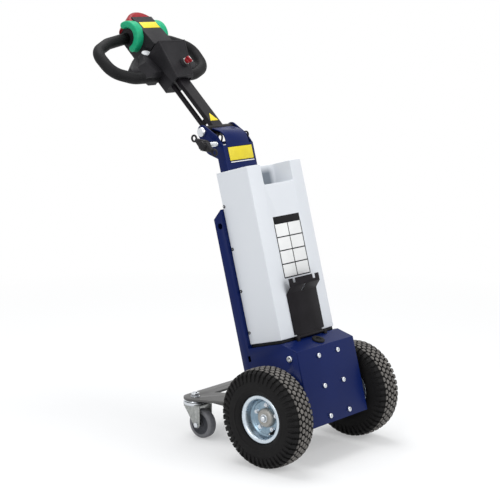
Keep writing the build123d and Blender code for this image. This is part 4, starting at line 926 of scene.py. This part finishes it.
console = solid_copy("switch_console")
facing = (ARM @ Matrix.Rotation(CONSOLE_PITCH, 4, "X")).to_3x3() @ Vector((0, 0, 1))
bpy.ops.object.mode_set(mode="EDIT")
bpy.ops.mesh.select_all(action="DESELECT")
bpy.ops.object.mode_set(mode="OBJECT")
for face in console.data.polygons:
    face.select = face.normal.dot(facing) > SAME_WAY
bpy.ops.object.mode_set(mode="EDIT")
bpy.ops.mesh.select_mode(type="FACE")
bpy.ops.mesh.inset(thickness=RIM_MARGIN * MM, depth=0)
bpy.ops.mesh.inset(thickness=RIM_GROOVE * MM, depth=-RIM_GROOVE * MM)
bpy.ops.mesh.select_mode(type="VERT")
bpy.ops.object.mode_set(mode="OBJECT")
rounded(console, width=1.4, segments=3)
dress(console, black_moulding, "tiller", "black_moulding", "switch_console")

# Key switch: a black collar with a thin zinc ring, and a red knob with a finger bar across it,
# fixed through the sloping face of the console.
KEY_PLACE = (15.0, 219.0, 35.5)
KEY_BAR_SIZE = (6.0, 19.0, 9.0)
KEY_BAR_HEIGHT = 21.3
KEY_TURN = radians(35)
# Columns: height above the console's face, radius.
COLLAR_LINE = (
    (-1.0, 0), (-1.0, 13.2), (2.0, 13.2), (3.6, 12.2), (8.6, 11.6), (9.8, 10.8), (9.8, 0))
RING_LINE = ((9.0, 7.4), (9.0, 9.4), (10.2, 9.6), (10.9, 9.0), (10.9, 7.4))
KNOB_LINE = ((10.5, 0), (10.5, 6.4), (12.5, 8.2), (16.5, 8.6), (19.5, 7.6), (20.4, 5.4), (20.4, 0))

key_place = ARM @ shift(*KEY_PLACE) @ Matrix.Rotation(CONSOLE_PITCH, 4, "X")
collar = moved(spun(COLLAR_LINE, steps=36), key_place @ UPWARD)
collar.name = "key_collar"
dress(collar, black_moulding, "tiller", "black_moulding")
ring = moved(spun(RING_LINE, steps=36), key_place @ UPWARD)
ring.name = "key_ring"
dress(ring, fork_zinc, "tiller", "zinc_plate")
bar = slab(KEY_BAR_SIZE, (0, 0, KEY_BAR_HEIGHT), edge=1.6, segments=3)
moved(bar, Matrix.Rotation(KEY_TURN, 4, "Z"))
knob = joined([moved(spun(KNOB_LINE, steps=32), UPWARD), bar])
knob.name = "key_knob"
dress(moved(knob, key_place), button_red, "tiller", "button_red", "key_switch")

# Charge gauge: a clear white oval lens pressed into the housing beside the console, a quarter
# larger than its node.
GAUGE_GROWTH = 1.25

gauge_white = finish("gauge lens", (0.66, 0.68, 0.70), (0.76, 0.77, 0.78),
                     clouds=60.0, grain=300.0, depth=0.0001, rough=0.14)
gauge = softened("battery_gauge", gauge_white, "gauge_white", width=1.4, segments=3)
gauge_low, gauge_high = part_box("battery_gauge")
middle = Matrix.Translation((gauge_low + gauge_high) / 2)
moved(gauge, middle @ Matrix.Scale(GAUGE_GROWTH, 4) @ middle.inverted())

# Studio: a pale floor that fades into a white surround, three soft lamps, and the camera at
# the place that the photograph was taken from.
FLOOR_SIZE = 40.0
CAMERA_ACROSS = -2.9087
CAMERA_ALONG = -2.305034
CAMERA_UP = 1.2196
CAMERA_BACK = Vector((-0.7431, -0.6441, 0.1814))
LENS = 105.37
FADE_START = 0.7
FADE_WIDTH = 1.6
NEAR_GLOW = 0.35


def directly_seen(wire):
    """1 for camera, mirrored and refracted rays, 0 for the rays that only bring light."""
    path = wire.add("ShaderNodeLightPath", output="Is Camera Ray")
    glossy = wire.add("ShaderNodeLightPath", output="Is Glossy Ray")
    through = wire.add("ShaderNodeLightPath", output="Is Transmission Ray")
    return (path + glossy + through).clamp()


bpy.ops.object.select_all(action="DESELECT")
bpy.ops.mesh.primitive_plane_add(size=FLOOR_SIZE, location=(0, 0, cad_low.z))
floor = bpy.context.object
floor.name = "floor"
floor_finish, wire = new_finish("studio floor")
spot = wire.add("ShaderNodeTexCoord", output="Object")
reach = wire.add("ShaderNodeVectorMath", {"operation": "LENGTH"}, {0: spot}, output="Value")
seen = directly_seen(wire)
far = reach.above(FADE_START + FADE_WIDTH / 2, FADE_WIDTH)
cloth = wire.add("ShaderNodeBsdfDiffuse", None, {"Color": (0.96, 0.96, 0.955, 1)})
glow = wire.add("ShaderNodeEmission", None, {"Color": (1, 1, 1, 1), "Strength": 1.0})
mixed = wire.add("ShaderNodeMixShader", None,
                 {0: (NEAR_GLOW + (1 - NEAR_GLOW) * far) * seen, 1: cloth, 2: glow})
wire.add("ShaderNodeOutputMaterial", None, {"Surface": mixed})
floor.data.materials.append(floor_finish)

world = bpy.data.worlds.new("studio")
bpy.context.scene.world = world
world.use_nodes = True
world.node_tree.nodes.clear()
wire = Wire(world.node_tree)
seen = directly_seen(wire)
shown = wire.add("ShaderNodeBackground", None, {"Color": (1, 1, 1, 1), "Strength": 1.0})
given = wire.add("ShaderNodeBackground", None, {"Color": (0.93, 0.96, 1, 1), "Strength": 0.5})
both = wire.add("ShaderNodeMixShader", None, {0: seen, 1: given, 2: shown})
wire.add("ShaderNodeOutputWorld", None, {"Surface": both})

# Columns: name, place, aim, width, power in watts.
LAMPS = (
    ("front lamp", (0.6, -3.4, 2.6), (0, 0, 0.5), 2.2, 50),
    ("side lamp", (-3.6, -0.8, 2.2), (0, 0, 0.5), 1.8, 32),
    ("top lamp", (0.2, 0.6, 3.6), (0, 0, 0.5), 2.4, 72),
)
for name, spot, aim, width, power in LAMPS:
    data = bpy.data.lights.new(name, "AREA")
    data.size = width
    data.energy = power
    lamp = bpy.data.objects.new(name, data)
    bpy.context.scene.collection.objects.link(lamp)
    lamp.location = spot
    lamp.rotation_euler = (Vector(aim) - Vector(spot)).to_track_quat("-Z", "Y").to_euler()

camera_data = bpy.data.cameras.new("camera")
camera_data.sensor_width = 36.0
camera_data.lens = LENS
camera = bpy.data.objects.new("camera", camera_data)
bpy.context.scene.collection.objects.link(camera)
camera.location = (CAMERA_ACROSS, AXLE.y + CAMERA_ALONG, CAMERA_UP)
camera.rotation_euler = (-CAMERA_BACK).to_track_quat("-Z", "Y").to_euler()
bpy.context.scene.camera = camera
bpy.context.scene.view_settings.view_transform = "Standard"
